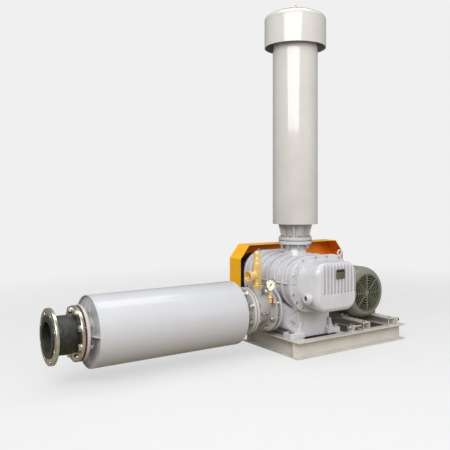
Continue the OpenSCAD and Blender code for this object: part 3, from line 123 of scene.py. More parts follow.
def vector_calc(tree, operation, *values):
    """The outputs of one Vector Math node."""
    return add(tree, "ShaderNodeVectorMath", dict(enumerate(values)),
               operation=operation).outputs


def mix_colour(tree, mask, below, above):
    factor, first, second, result = 0, 6, 7, 2
    return add(tree, "ShaderNodeMix", {factor: mask, first: below, second: above},
               data_type="RGBA").outputs[result]


def mix_shader(tree, mask, below, above):
    return add(tree, "ShaderNodeMixShader", {0: mask, 1: below, 2: above}).outputs[0]


def object_place(tree):
    return add(tree, "ShaderNodeTexCoord").outputs["Object"]


def geometry_info(tree, label):
    return add(tree, "ShaderNodeNewGeometry").outputs[label]


def clouds(tree, scale, detail, roughness=0.5, place=None):
    """Noise about 0.5 over the object, or over another place."""
    if place is None:
        place = object_place(tree)
    return add(tree, "ShaderNodeTexNoise", {"Vector": place, "Scale": scale, "Detail": detail,
                                            "Roughness": roughness}).outputs[0]


def stretched(tree, value, low, high, new_low=0.0, new_high=1.0):
    """The value with one range stretched to another, and held within it."""
    return add(tree, "ShaderNodeMapRange", {
        "Value": value, "From Min": low, "From Max": high, "To Min": new_low,
        "To Max": new_high}).outputs[0]


def rounded_normal(tree, radius):
    return add(tree, "ShaderNodeBevel", {"Radius": radius},
               samples=BEVEL_SAMPLES).outputs[0]


def bumped(tree, height, depth, normal):
    return add(tree, "ShaderNodeBump", {"Strength": 1.0, "Distance": depth, "Height": height,
                                        "Normal": normal}).outputs[0]


def node_group(name, kind, inputs, output):
    """An empty group with named sockets, and its input and output ends."""
    tree = bpy.data.node_groups.new(name, kind)
    for label, socket_kind, default in inputs:
        socket = tree.interface.new_socket(label, in_out="INPUT", socket_type=socket_kind)
        if default is not None:
            socket.default_value = default
    label, socket_kind = output
    tree.interface.new_socket(label, in_out="OUTPUT", socket_type=socket_kind)
    return tree, add(tree, "NodeGroupInput").outputs, add(tree, "NodeGroupOutput").inputs


def effect(name, output, inputs, build):
    """A shader group whose output is what build makes of the tree and its inputs."""
    tree, given, sink = node_group(name, "ShaderNodeTree", inputs, output)
    tree.links.new(build(tree, given), sink[output[0]])
    return tree


# Effects that several finishes share

def build_cloudy_tone(tree, given):
    """Drifts between two close colours, as sprayed paint, plating and rubber do."""
    mask = stretched(tree, clouds(tree, given["Scale"], 5.0, 0.6), 0.35, 0.68)
    return mix_colour(tree, mask, given["Colour"], given["Second Colour"])


def build_uneven_gloss(tree, given):
    """A roughness that varies in patches, from the lowest to the highest."""
    patches = clouds(tree, given["Scale"], 6.0)
    return stretched(tree, patches, 0.3, 0.7, given["Lowest"], given["Highest"])


def build_surface_relief(tree, given):
    """Rounds the edges, then lays long waves and a fine grain on the surface."""
    drawn = vector_calc(tree, "MULTIPLY", object_place(tree), given["Wave Stretch"])[0]
    waves = clouds(tree, given["Wave Scale"], 1.0, place=drawn)
    grains = clouds(tree, given["Grain Scale"], 3.0)
    waved = bumped(tree, waves, given["Wave Depth"], rounded_normal(tree, given["Edge"]))
    return bumped(tree, grains, given["Grain Depth"], waved)


def build_edge_mask(tree, given):
    """Finds edges and corners, broken up as real wear is."""
    flat = geometry_info(tree, "True Normal")
    same = vector_calc(tree, "DOT_PRODUCT", rounded_normal(tree, 1.5 * MM), flat)["Value"]
    turned = calc(tree, "SUBTRACT", 1.0, same)
    kept = stretched(tree, clouds(tree, 160.0, 5.0), 0.4, 0.62)
    strong = times(tree, turned, times(tree, given["Strength"], 7.0))
    return times(tree, strong, kept, clamp=True)


def build_settled_dust(tree, given):
    """A film that lies on what faces up, thicker in patches."""
    normal = geometry_info(tree, "Normal")
    upward = add(tree, "ShaderNodeSeparateXYZ", {0: normal}).outputs["Z"]
    facing = stretched(tree, upward, 0.35, 0.95)
    lain = times(tree, facing, clouds(tree, 14.0, 6.0))
    return times(tree, lain, given["Amount"], clamp=True)


def build_crevice_grime(tree, given):
    """Finds the hollows of a dense mesh, for painted shade where little light comes."""
    hollow = stretched(tree, geometry_info(tree, "Pointiness"), 0.495, 0.43)
    return times(tree, hollow, given["Amount"], clamp=True)


def build_inward_side(tree, given):
    """1 on the faces of a shell that look toward its centre."""
    outward = vector_calc(tree, "SUBTRACT", object_place(tree), given["Centre"])[0]
    normal = geometry_info(tree, "Normal")
    facing = vector_calc(tree, "DOT_PRODUCT", outward, normal)["Value"]
    return calc(tree, "LESS_THAN", facing, 0.0)


MASK = ("Mask", FLOAT)
cloudy_tone = effect("cloudy_tone", ("Colour", COLOUR), [
    ("Colour", COLOUR, None), ("Second Colour", COLOUR, None), ("Scale", FLOAT, 6.0)],
    build_cloudy_tone)
uneven_gloss = effect("uneven_gloss", ("Roughness", FLOAT), [
    ("Lowest", FLOAT, 0.3), ("Highest", FLOAT, 0.4), ("Scale", FLOAT, 20.0)],
    build_uneven_gloss)
surface_relief = effect("surface_relief", ("Normal", VECTOR), [
    ("Edge", FLOAT, 1 * MM), ("Grain Scale", FLOAT, 900.0), ("Grain Depth", FLOAT, 0.05 * MM),
    ("Wave Scale", FLOAT, 10.0), ("Wave Depth", FLOAT, 0.0),
    ("Wave Stretch", VECTOR, (1, 1, 1))], build_surface_relief)
edge_mask = effect("edge_mask", MASK, [("Strength", FLOAT, 1.0)], build_edge_mask)
settled_dust = effect("settled_dust", MASK, [("Amount", FLOAT, 0.2)], build_settled_dust)
crevice_grime = effect("crevice_grime", MASK, [("Amount", FLOAT, 0.5)], build_crevice_grime)
inward_side = effect("inward_side", MASK, [("Centre", VECTOR, (0, 0, 0))], build_inward_side)


# Finishes

def new_material(name):
    material = bpy.data.materials.new(name)
    material.use_nodes = True
    material.node_tree.nodes.clear()
    return material, material.node_tree


def shared(tree, group, values):
    """The result of a shared effect."""
    return add(tree, "ShaderNodeGroup", values, node_tree=group).outputs[0]


def finish(name, colours, gloss, tone_scale=6.0, gloss_scale=20.0, metallic=0.0, coat=0.0,
           coat_roughness=0.1, edge=1.2 * MM, grain=(900.0, 0.04 * MM), wave=(10.0, 0.0),
           stretch=(1, 1, 1), wear=None, dust=0.0, dust_colour=(150, 142, 128), hollow_shade=None,
           inner=None):
    """A finish from the shared effects: colours and gloss are its lower and upper values.

    Grain and wave are (scale, depth). Wear, and the painted shade in hollows, are (colour,
    strength), and inner, a painted tint of bounced light and shade on inward faces, is (colour,
    centre).
    """
    material, tree = new_material(name)
    colour = shared(tree, cloudy_tone, {
        "Colour": screen(*colours[0]), "Second Colour": screen(*colours[1]),
        "Scale": tone_scale})
    film = (dust_colour, dust) if dust else None
    # Layers on the colour: painted bounce light and shade on inward faces, painted shade in
    # hollows, then worn edges and dust
    for layer, group, label in (
            (inner, inward_side, "Centre"), (hollow_shade, crevice_grime, "Amount"),
            (wear, edge_mask, "Strength"), (film, settled_dust, "Amount")):
        if layer:
            mask = shared(tree, group, {label: layer[1]})
            colour = mix_colour(tree, mask, colour, screen(*layer[0]))
    sheen = shared(tree, uneven_gloss, {"Lowest": gloss[0], "Highest": gloss[1],
                                        "Scale": gloss_scale})
    relief = shared(tree, surface_relief, {
        "Edge": edge, "Grain Scale": grain[0], "Grain Depth": grain[1],
        "Wave Scale": wave[0], "Wave Depth": wave[1], "Wave Stretch": stretch})
    surface = add(tree, "ShaderNodeBsdfPrincipled", {
        "Base Color": colour, "Roughness": sheen, "Normal": relief, "Metallic": metallic,
        "Coat Weight": coat, "Coat Roughness": coat_roughness})
    add(tree, "ShaderNodeOutputMaterial", {"Surface": surface.outputs[0]})
    return material


# Grey enamel over a sand casting, with painted shade in its hollows
cast_enamel = finish("cast_enamel", ((210, 210, 215), (200, 200, 204)), (0.15, 0.23),
                     coat=0.5, coat_roughness=0.06, edge=0.6 * MM, grain=(420.0, 0.08 * MM),
                     wave=(38.0, 0.25 * MM), dust=0.05,
                     hollow_shade=((112, 104, 92), 0.85))
# The same enamel, smoother, on the tall rolled tube, whose sheet is a little wavy
tube_enamel = finish("tube_enamel", ((206, 203, 200), (200, 196, 192)), (0.11, 0.17),
                     coat=0.5, coat_roughness=0.05, grain=(650.0, 0.012 * MM),
                     wave=(13.0, 1.3 * MM), stretch=(1, 1, 0.09))
# On the lying shell, with its waves along X
shell_enamel = finish("shell_enamel", ((200, 201, 206), (197, 198, 202)), (0.2, 0.23),
                      coat=0.3, coat_roughness=0.05, grain=(650.0, 0.008 * MM),
                      wave=(7.0, 0.3 * MM), stretch=(0.12, 1, 1), dust=0.02)
# Pipes, necks and flanges
pipe_enamel = finish("pipe_enamel", ((203, 202, 203), (188, 187, 186)), (0.25, 0.38),
                     coat=0.2, grain=(520.0, 0.05 * MM), wave=(30.0, 0.25 * MM),
                     wear=((150, 145, 135), 0.35), dust=0.12)
# Rolled steel sections, brushed with a warmer grey
frame_enamel = finish("frame_enamel", ((216, 212, 205), (204, 199, 191)), (0.32, 0.48),
                      coat=0.1, edge=1.6 * MM, grain=(360.0, 0.09 * MM),
                      wave=(16.0, 0.4 * MM), wear=((150, 140, 126), 0.4), dust=0.12)
# Amber enamel on the folded guard; the deeper orange on its inner side is painted bounce light
# and shade
guard_low, guard_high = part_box("belt_guard")
guard_enamel = finish("guard_enamel", ((255, 188, 0), (255, 182, 0)), (0.34, 0.46),
                      edge=1.0 * MM, grain=(600.0, 0.02 * MM),
                      wave=(6.0, 0.4 * MM), wear=((255, 214, 110), 0.5),
                      inner=((255, 140, 6), (guard_low + guard_high) / 2))
motor_enamel = finish("motor_enamel", ((130, 132, 115), (118, 120, 104)), (0.26, 0.4),
                      coat=0.3, grain=(480.0, 0.06 * MM), wear=((176, 177, 160), 0.6),
                      dust=0.1)
zinc_plate = finish("zinc_plate", ((228, 229, 222), (198, 196, 178)), (0.22, 0.36),
                    tone_scale=26.0, gloss_scale=60.0, metallic=1.0, edge=0.8 * MM,
                    grain=(260.0, 0.03 * MM), dust=0.08)
bare_iron = finish("bare_iron", ((112, 112, 112), (88, 86, 84)), (0.38, 0.55),
                   metallic=1.0, tone_scale=20.0, grain=(340.0, 0.08 * MM))
cut_steel = finish("cut_steel", ((176, 178, 180), (150, 152, 155)), (0.22, 0.34),
                   metallic=1.0, tone_scale=16.0, edge=0.5 * MM, grain=(900.0, 0.02 * MM))
# Cast brass, with painted shade in its hollows
cast_brass = finish("cast_brass", ((252, 218, 146), (248, 208, 132)), (0.2, 0.26),
                    metallic=0.4, tone_scale=22.0, coat=0.7, coat_roughness=0.08,
                    gloss_scale=45.0, edge=1.0 * MM, hollow_shade=((190, 120, 50), 0.8),
                    grain=(520.0, 0.008 * MM), wave=(70.0, 0.05 * MM))
# Black paint with bright edges: partly worn to bare metal, partly a painted highlight for the
# shine of the groove edges
pulley_black = finish("pulley_black", ((44, 44, 45), (30, 30, 31)), (0.32, 0.5), coat=0.2,
                      wear=((205, 205, 200), 1.6), dust=0.1)
belt_rubber = finish("belt_rubber", ((40, 40, 42), (26, 26, 27)), (0.6, 0.8),
                     tone_scale=60.0, grain=(700.0, 0.1 * MM))
joint_rubber = finish("joint_rubber", ((52, 53, 49), (27, 28, 27)), (0.34, 0.56),
                      tone_scale=17.0, gloss_scale=36.0, grain=(230.0, 0.5 * MM),
                      wave=(46.0, 1.4 * MM), dust=0.25,
                      dust_colour=(120, 118, 108))
gasket_sheet = finish("gasket_sheet", ((152, 84, 42), (118, 62, 34)), (0.6, 0.8),
                      tone_scale=70.0, grain=(800.0, 0.08 * MM))
filter_paper = finish("filter_paper", ((226, 219, 196), (208, 199, 172)), (0.75, 0.9),
                      grain=(1200.0, 0.08 * MM), dust=0.3)
black_moulding = finish("black_moulding", ((36, 36, 36), (26, 26, 26)), (0.4, 0.55),
                        grain=(1400.0, 0.03 * MM))
red_grip = finish("red_grip", ((222, 34, 22), (200, 24, 18)), (0.25, 0.36), coat=0.4,
                  tone_scale=60.0, grain=(900.0, 0.03 * MM))
dial_face = finish("dial_face", ((226, 223, 214), (220, 217, 208)), (0.4, 0.5),
                   tone_scale=50.0, edge=0.1 * MM, grain=(1500.0, 0.004 * MM))
dial_ink = finish("dial_ink", ((24, 24, 26), (34, 34, 36)), (0.45, 0.6), tone_scale=200.0,
                  edge=0.05 * MM, grain=(1500.0, 0.004 * MM))
bezel_metal = finish("bezel_metal", ((212, 208, 196), (192, 188, 176)), (0.16, 0.28),
                     metallic=1.0, tone_scale=40.0, edge=0.4 * MM)
plate_metal = finish("plate_metal", ((150, 144, 132), (128, 122, 110)), (0.3, 0.42),
                     metallic=0.8, tone_scale=40.0, edge=0.3 * MM, grain=(1100.0, 0.02 * MM))
plate_header = finish("plate_header", ((46, 40, 36), (34, 30, 28)), (0.35, 0.5),
                      tone_scale=60.0, edge=0.1 * MM, grain=(1100.0, 0.01 * MM))


def clear_finish(name, colour, roughness, ior):
    """Glass that lets lamp light through to what lies behind it."""
    material, tree = new_material(name)
    sheen = shared(tree, uneven_gloss, {"Lowest": roughness, "Highest": roughness * 2.5,
                                        "Scale": 80.0})
    body = add(tree, "ShaderNodeBsdfPrincipled", {
        "Base Color": screen(*colour), "Roughness": sheen, "IOR": ior,
        "Transmission Weight": 1.0})
    passing = add(tree, "ShaderNodeBsdfTransparent", {"Color": screen(*colour)})
    shadow = add(tree, "ShaderNodeLightPath").outputs["Is Shadow Ray"]
    both = mix_shader(tree, shadow, body.outputs[0], passing.outputs[0])
    add(tree, "ShaderNodeOutputMaterial", {"Surface": both})
    return material


clear_glass = clear_finish("clear_glass", (252, 250, 247), 0.02, 1.2)
amber_lens = finish("amber_lens", ((150, 84, 22), (84, 38, 8)), (0.05, 0.1), coat=1.0,
                    coat_roughness=0.03, tone_scale=55.0, grain=(300.0, 0.01 * MM))


# Mesh helpers

def rectangle(x0, y0, x1, y1):
    return [(x0, y0), (x1, y0), (x1, y1), (x0, y1)]


def circle(radius, sides=96, offset=0.0, x=0.0, y=0.0):
    """Points round a centre; the offset is a share of a step."""
    angles = [(k + offset) * FULL_TURN / sides for k in range(sides)]
    return [(x + radius * math.cos(a), y + radius * math.sin(a)) for a in angles]


def bolt_circle(radius):
    """The eight places on a bolt circle whose holes straddle the axes."""
    return circle(radius, 8, 0.5)


def filleted(points, radius, steps=4, closed=True):
    """The outline with its corners rounded by short curves."""
    result = []
    count = len(points)
    for i, corner in enumerate(points):
        if not closed and i in (0, count - 1):
            result.append(tuple(corner))
            continue
        corner = Vector(corner)
        before = Vector(points[i - 1])
        after = Vector(points[(i + 1) % count])
        start = corner + (before - corner) * min(radius / (before - corner).length, 0.45)
        end = corner + (after - corner) * min(radius / (after - corner).length, 0.45)
        for k in range(steps + 1):
            t = k / steps
            result.append(tuple((1 - t) ** 2 * start + 2 * t * (1 - t) * corner + t * t * end))
    return result


def lathe(profile, sides=96):
    """A turned form about Z from (radius, height) points; one from the axis also ends on it."""
    form = bmesh.new()
    rings = []
    for radius, height in profile:
        around = [(0, 0)] if radius < 0.01 * MM else circle(radius, sides)
        rings.append([form.verts.new((x, y, height)) for x, y in around])
    solid = len(rings[0]) == 1
    for low, high in zip(rings, rings[1:] if solid else rings[1:] + rings[:1]):
        for k in range(sides):
            j = (k + 1) % sides
            corners = [low[k % len(low)], low[j % len(low)], high[j % len(high)],
                       high[k % len(high)]]
            distinct = [c for i, c in enumerate(corners) if c not in corners[:i]]
            if len(distinct) > 2:
                form.faces.new(distinct)
    bmesh.ops.recalc_face_normals(form, faces=form.faces)
    return form


def plate(outline, holes, thickness, chamfer):
    """A flat plate on Z = 0 with round holes given as (x, y, radius), and eased edges."""
    form = bmesh.new()
    for loop in [outline] + [circle(r, 28, 0.0, x, y) for x, y, r in holes]:
        corners = [form.verts.new((x, y, 0)) for x, y in loop]
        for i, corner in enumerate(corners):
            form.edges.new((corners[i - 1], corner))
    bmesh.ops.triangle_fill(form, use_beauty=True, edges=form.edges[:])
    bmesh.ops.dissolve_limit(form, angle_limit=0.01, verts=form.verts[:], edges=form.edges[:])
    grown = bmesh.ops.extrude_face_region(form, geom=form.faces[:])
    risen = [g for g in grown["geom"] if isinstance(g, bmesh.types.BMVert)]
    bmesh.ops.translate(form, verts=risen, vec=(0, 0, thickness))
    bmesh.ops.recalc_face_normals(form, faces=form.faces)
    rims = [e for e in form.edges if len(e.link_faces) == 2
            and e.calc_face_angle(0) > math.radians(60)
            and abs(e.verts[0].co.z - e.verts[1].co.z) < 0.1 * MM]
    bmesh.ops.bevel(form, geom=rims, offset=chamfer, segments=2, affect="EDGES", profile=0.5)
    return form


def flange(outer, bore, thickness, pcd, hole):
    """A turned ring with a circle of eight holes, standing on Z = 0."""
    holes = [(0, 0, bore)] + [(x, y, hole) for x, y in bolt_circle(pcd)]
    return plate(circle(outer), holes, thickness, 1.4 * MM)


def join(*placed):
    """One form out of several, each given with its placing matrix."""
    whole = bmesh.new()
    for form, place in placed:
        bmesh.ops.transform(form, matrix=place, verts=form.verts[:])
        scratch = mesh_of(form, "scratch")
        whole.from_mesh(scratch)
        bpy.data.meshes.remove(scratch)
    return whole


def at(x=0.0, y=0.0, z=0.0):
    return Matrix.Translation((x, y, z))


# Turns Z into the named axis
TO_X = Matrix.Rotation(math.radians(90), 4, "Y")
TO_MINUS_Y = Matrix.Rotation(math.radians(90), 4, "X")
TO_Y = Matrix.Rotation(math.radians(-90), 4, "X")


def braces(outline, run, thickness, turns):
    """Plates set round an axis by their turns, and the weld runs on both of their faces."""
    plates, lines = [], []
    for turn in turns:
        plates.append((plate(outline, [], thickness, 1 * MM),
                       turn @ at(y=thickness / 2) @ TO_MINUS_Y))
        for y in (-thickness / 2, thickness / 2):
            lines.append(([turn @ Vector((x, y, z)) for x, z in run], False))
    return plates, lines


def mesh_of(form, name):
    mesh = bpy.data.meshes.new(name)
    form.to_mesh(mesh)
    form.free()
    return mesh


def piece(name, form, material, body=BODY, replaces=(), crease=32):
    """Turns a form into a finished piece that rides on its body, if it has just one."""
    mesh = mesh_of(form, name) if isinstance(form, bmesh.types.BMesh) else form
    mesh.name = name
    mesh.materials.clear()
    mesh.materials.append(material)
    mesh.polygons.foreach_set("use_smooth", [True] * len(mesh.polygons))
    if crease:
        mesh.set_sharp_from_angle(angle=math.radians(crease))
    made = new_object(name, mesh)
    if body:
        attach(made, body)
    if replaces:
        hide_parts(*replaces)
    return made


def evaluated_mesh(made):
    """The object's mesh with its modifiers worked out."""
    view = bpy.context.evaluated_depsgraph_get()
    return bpy.data.meshes.new_from_object(made.evaluated_get(view), depsgraph=view)


MOST_TRIANGLES = 140000
COARSER = 1.0


def casting(node, voxel, rounds, material, cut=None):
    """The node's form, less a placed cut, with the soft edges and fillets of a mould."""
    made = new_object("scratch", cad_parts[node].data.copy())
    made.modifiers.new("weld", "WELD").merge_threshold = 0.01 * MM
    scraps = [made]
    if cut:
        tool = new_object("scratch", mesh_of(join(cut), "tool"))
        change = made.modifiers.new("change", "BOOLEAN")
        change.operation = "DIFFERENCE"
        change.object = tool
        scraps.append(tool)
    skin = made.modifiers.new("skin", "REMESH")
    skin.mode = "VOXEL"
    skin.voxel_size = voxel * COARSER
    skin.use_smooth_shade = True
    soften = made.modifiers.new("soften", "SMOOTH")
    soften.factor = 0.5
    soften.iterations = rounds
    mesh = evaluated_mesh(made)
    made.modifiers.clear()
    made.data = mesh
    triangles = 2 * len(mesh.polygons)
    if triangles > MOST_TRIANGLES:
        made.modifiers.new("thin", "DECIMATE").ratio = MOST_TRIANGLES / triangles
        mesh = evaluated_mesh(made)
    for scrap in scraps:
        bpy.data.objects.remove(scrap)
    return piece(node + "_casting", mesh, material, replaces=(node,), crease=0)


# Rules that lay out what repeats

def geometry_rule(name, inputs, build):
    """A Geometry Nodes tree with named sizes and a material, around what build lays out."""
    tree, given, sink = node_group(
        name, "GeometryNodeTree",
        [("Geometry", "NodeSocketGeometry", None)] + inputs
        + [("Material", "NodeSocketMaterial", None)], ("Geometry", "NodeSocketGeometry"))
    real = add(tree, "GeometryNodeRealizeInstances", {"Geometry": build(tree, given)})
    coated = add(tree, "GeometryNodeSetMaterial", {"Geometry": real.outputs[0],
                                                   "Material": given["Material"]})
    tree.links.new(coated.outputs[0], sink["Geometry"])
    return tree


def up(tree, height):
    return add(tree, "ShaderNodeCombineXYZ", {"Z": height}).outputs[0]


def moved(tree, form, label, value):
    """The form with a Translation, a Rotation or a Scale."""
    return add(tree, "GeometryNodeTransform", {"Geometry": form, label: value}).outputs[0]


def gathered(tree, parts):
    whole = add(tree, "GeometryNodeJoinGeometry")
    for part in parts:
        tree.links.new(part, whole.inputs[0])
    return whole.outputs[0]


def round_section(tree, sides, radius):
    return add(tree, "GeometryNodeCurvePrimitiveCircle", {"Resolution": sides,
                                                          "Radius": radius}).outputs[0]


def curve_of(tree, given):
    return add(tree, "GeometryNodeMeshToCurve", {"Mesh": given["Geometry"]}).outputs[0]


def swept(tree, curve, section, **more):
    """The section drawn along the curve, with closed ends."""
    return add(tree, "GeometryNodeCurveToMesh", {
        "Curve": curve, "Profile Curve": section, "Fill Caps": True, **more}).outputs[0]


def upright(tree):
    """The rotation that turns Z into the direction kept on each point."""
    kept = add(tree, "GeometryNodeInputNamedAttribute", {"Name": "axis"},
               data_type="FLOAT_VECTOR")
    return add(tree, "FunctionNodeAlignRotationToVector",
               {"Vector": kept.outputs["Attribute"]}, axis="Z").outputs[0]


def on_points(tree, given, form, rotation):
    return add(tree, "GeometryNodeInstanceOnPoints", {
        "Points": given["Geometry"], "Instance": form, "Rotation": rotation}).outputs[0]


def ruled(base, tree, material, **sizes):
    """The plain mesh that a rule makes from a base mesh."""
    made = new_object("scratch", base)
    rule = made.modifiers.new("rule", "NODES")
    rule.node_group = tree
    sizes["Material"] = material
    for item in tree.interface.items_tree:
        label = item.name.replace(" ", "_")
        if item.item_type == "SOCKET" and item.in_out == "INPUT" and label in sizes:
            rule[item.identifier] = sizes[label]
    mesh = evaluated_mesh(made)
    made.modifiers.clear()
    bpy.data.objects.remove(made)
    return mesh


def line_mesh(paths):
    """Edges along each path of points; a path given as closed joins its ends."""
    points, edges = [], []
    for path, closed in paths:
        first = len(points)
        points += [tuple(p) for p in path]
        edges += [(first + i, first + i + 1) for i in range(len(path) - 1)]
        if closed:
            edges.append((len(points) - 1, first))
    mesh = bpy.data.meshes.new("lines")
    mesh.from_pydata(points, edges, [])
    return mesh


def point_mesh(places):
    """Points given as (place, direction), with the direction kept for the rules."""
    mesh = bpy.data.meshes.new("points")
    mesh.from_pydata([place for place, _ in places], [], [])
    axis = mesh.attributes.new("axis", "FLOAT_VECTOR", "POINT")
    axis.data.foreach_set("vector", [c for _, direction in places for c in direction])
    return mesh


def build_fastener(tree, given):
    """A bolt or stud with washers, chamfered hexagons and a thread, on every point."""
    size = given["Diameter"]

    def share(part):
        return times(tree, size, part)

    def frustum(sides, low, high, depth, lift):
        cone = add(tree, "GeometryNodeMeshCone", {"Vertices": sides, "Radius Bottom": low,
                                                  "Radius Top": high, "Depth": depth})
        return moved(tree, cone.outputs[0], "Translation", up(tree, lift))

    def hexagon(height):
        corner = share(0.866)
        flat = times(tree, height, 0.84)
        crown = times(tree, height, 0.16)
        washer = share(1.02)
        return gathered(tree, [frustum(6, corner, corner, flat, 0.0),
                               frustum(6, corner, share(0.72), crown, flat),
                               frustum(24, washer, washer, share(0.12), 0.0)])

    head = moved(tree, hexagon(share(given["Head"])), "Rotation", (math.pi, 0, 0))
    nut = moved(tree, hexagon(share(0.8)), "Translation", up(tree, given["Grip"]))
    choice = add(tree, "GeometryNodeSwitch", {"Switch": given["Nut"], "True": nut},
                 input_type="GEOMETRY").outputs[0]
    low = times(tree, share(given["Start Tail"]), -1.0)
    tail = times(tree, given["Nut"], share(given["End Tail"]))
    high = calc(tree, "ADD", given["Grip"], tail)
    axis = add(tree, "GeometryNodeCurvePrimitiveLine", {"Start": up(tree, low),
                                                        "End": up(tree, high)})
    steps = calc(tree, "DIVIDE", calc(tree, "SUBTRACT", high, low), share(0.065))
    fine = add(tree, "GeometryNodeResampleCurve", {"Curve": axis.outputs[0], "Count": steps})
    index = add(tree, "GeometryNodeInputIndex").outputs[0]
    groove = times(tree, calc(tree, "MODULO", index, 2.0), 0.1)
    thread = swept(tree, fine.outputs[0], round_section(tree, 14, share(0.5)),
                   Scale=calc(tree, "SUBTRACT", 1.0, groove))
    chance = add(tree, "FunctionNodeRandomValue", {"Seed": 7}, data_type="FLOAT")
    angle = times(tree, chance.outputs[1], math.pi / 3)
    spin = add(tree, "FunctionNodeAxisAngleToRotation", {"Axis": (0, 0, 1), "Angle": angle})
    turned = add(tree, "FunctionNodeRotateRotation", {
        "Rotation": upright(tree), "Rotate By": spin.outputs[0]}, rotation_space="LOCAL")
    return on_points(tree, given, gathered(tree, (head, choice, thread)), turned.outputs[0])


def build_bead(tree, given):
    """A weld bead with the ripple of its pool, along every line."""
    step = calc(tree, "DIVIDE", given["Ripple"], 4.0)
    fine = add(tree, "GeometryNodeResampleCurve", {"Curve": curve_of(tree, given),
                                                   "Length": step}, mode="LENGTH")
    along = add(tree, "GeometryNodeSplineParameter").outputs["Length"]
    phase = calc(tree, "DIVIDE", times(tree, along, FULL_TURN), given["Ripple"])
    ripple = times(tree, calc(tree, "SINE", phase), 0.14)
    position = add(tree, "GeometryNodeInputPosition").outputs[0]
    swell = times(tree, clouds(tree, 90.0, 2.0, place=position), 0.5)
    width = calc(tree, "ADD", calc(tree, "ADD", 0.72, ripple), swell)
    return swept(tree, fine.outputs[0], round_section(tree, 8, given["Bead"]), Scale=width)


def build_bar(tree, given):
    """A flat bar with eased corners, swept along every line."""
    section = add(tree, "GeometryNodeCurvePrimitiveQuadrilateral",
                  {"Width": given["Width"], "Height": given["Thickness"]})
    eased = add(tree, "GeometryNodeFilletCurve", {
        "Curve": section.outputs[0], "Limit Radius": True,
        "Radius": times(tree, given["Thickness"], 0.3)})
    return swept(tree, curve_of(tree, given), eased.outputs[0])


def build_rivet(tree, given):
    """A low round head on every point."""
    ball = add(tree, "GeometryNodeMeshUVSphere", {"Segments": 16, "Rings": 10,
                                                  "Radius": given["Radius"]})
    flat = add(tree, "ShaderNodeCombineXYZ", {"X": 1.0, "Y": 1.0, "Z": given["Rise"]})
    low = moved(tree, ball.outputs[0], "Scale", flat.outputs[0])
    return on_points(tree, given, low, upright(tree))


fastener_rule = geometry_rule("hex_fasteners", [
    ("Diameter", FLOAT, 16 * MM), ("Grip", FLOAT, 40 * MM), ("Head", FLOAT, 0.65),
    ("Start Tail", FLOAT, 0.0), ("End Tail", FLOAT, 1.1), ("Nut", "NodeSocketBool", True)],
    build_fastener)
bead_rule = geometry_rule("weld_beads", [("Bead", FLOAT, 3 * MM),
                                         ("Ripple", FLOAT, 3.5 * MM)], build_bead)
bar_rule = geometry_rule("flat_bars", [("Width", FLOAT, 6 * MM),
                                       ("Thickness", FLOAT, 2.5 * MM)], build_bar)
rivet_rule = geometry_rule("round_heads", [("Radius", FLOAT, 2 * MM),
                                           ("Rise", FLOAT, 0.5)], build_rivet)


def welds(name, paths, material, bead):
    mesh = ruled(line_mesh(paths), bead_rule, material, Bead=bead)
    piece(name, mesh, material, crease=0)


def bars(name, paths, material, width, thickness, body=BODY):
    mesh = ruled(line_mesh(paths), bar_rule, material, Width=width, Thickness=thickness)
    piece(name, mesh, material, body)


def fasteners(name, places, body=BODY, replaces=(), **sizes):
    mesh = ruled(point_mesh(places), fastener_rule, zinc_plate, **sizes)
    piece(name, mesh, zinc_plate, body, replaces, crease=25)


def ring_path(centre, radius, axis):
    """A closed circle of points about an axis named X or Z."""
    path = []
    for a, b in circle(radius):
        offset = {"X": (0, a, b), "Z": (a, b, 0)}[axis]
        path.append(Vector(centre) + Vector(offset))
    return path, True


# Castings

def blower_castings():
    for node, voxel, rounds in (("casing", 2.6, 2), ("front_side_plate", 2.2, 3),
                                ("rear_side_plate", 2.2, 3), ("gear_cover", 1.9, 3),
                                ("pedestal", 2.8, 4), ("lifting_eyes", 0.9, 3)):
        casting(node, voxel * MM, rounds, cast_enamel)


VENT_HEIGHT = 77 * MM


def brass_castings():
    """The relief valve, with the wide threaded mouth of its vent, and the cock."""
    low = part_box("relief_body")[0]
    mouth = lathe([(0, -2 * MM), (28 * MM, -2 * MM), (26 * MM, 2 * MM), (24.5 * MM, 18 * MM),
                   (19 * MM, 20 * MM), (19 * MM, 46 * MM), (0, 46 * MM)])
    casting("relief_body", 0.9 * MM, 3, cast_brass,
            (mouth, at(low.x, 0, low.z + VENT_HEIGHT) @ TO_X))
    casting("relief_bonnet", 0.7 * MM, 3, cast_brass)
    casting("cock_body", 0.5 * MM, 3, cast_brass)


# Tall intake silencer

SHELL_SIDES = 192
FLANGE_THICK = 20 * MM
INLET_FLANGE = 105 * MM
INLET_BORE = 50 * MM
INLET_PCD = 87.5 * MM
INLET_HOLE = 9.5 * MM
NECK_OUTER = 57 * MM
COLLAR = 107 * MM
COLLAR_THICK = 6 * MM
FIN_FOOT = 92 * MM
TOE = 12 * MM
SUNK = 2 * MM
FIN_THICK = 8 * MM
PLATE_THICK = 8 * MM
CORE_HOLE = 58 * MM
TUBE_FOOT = 103 * MM


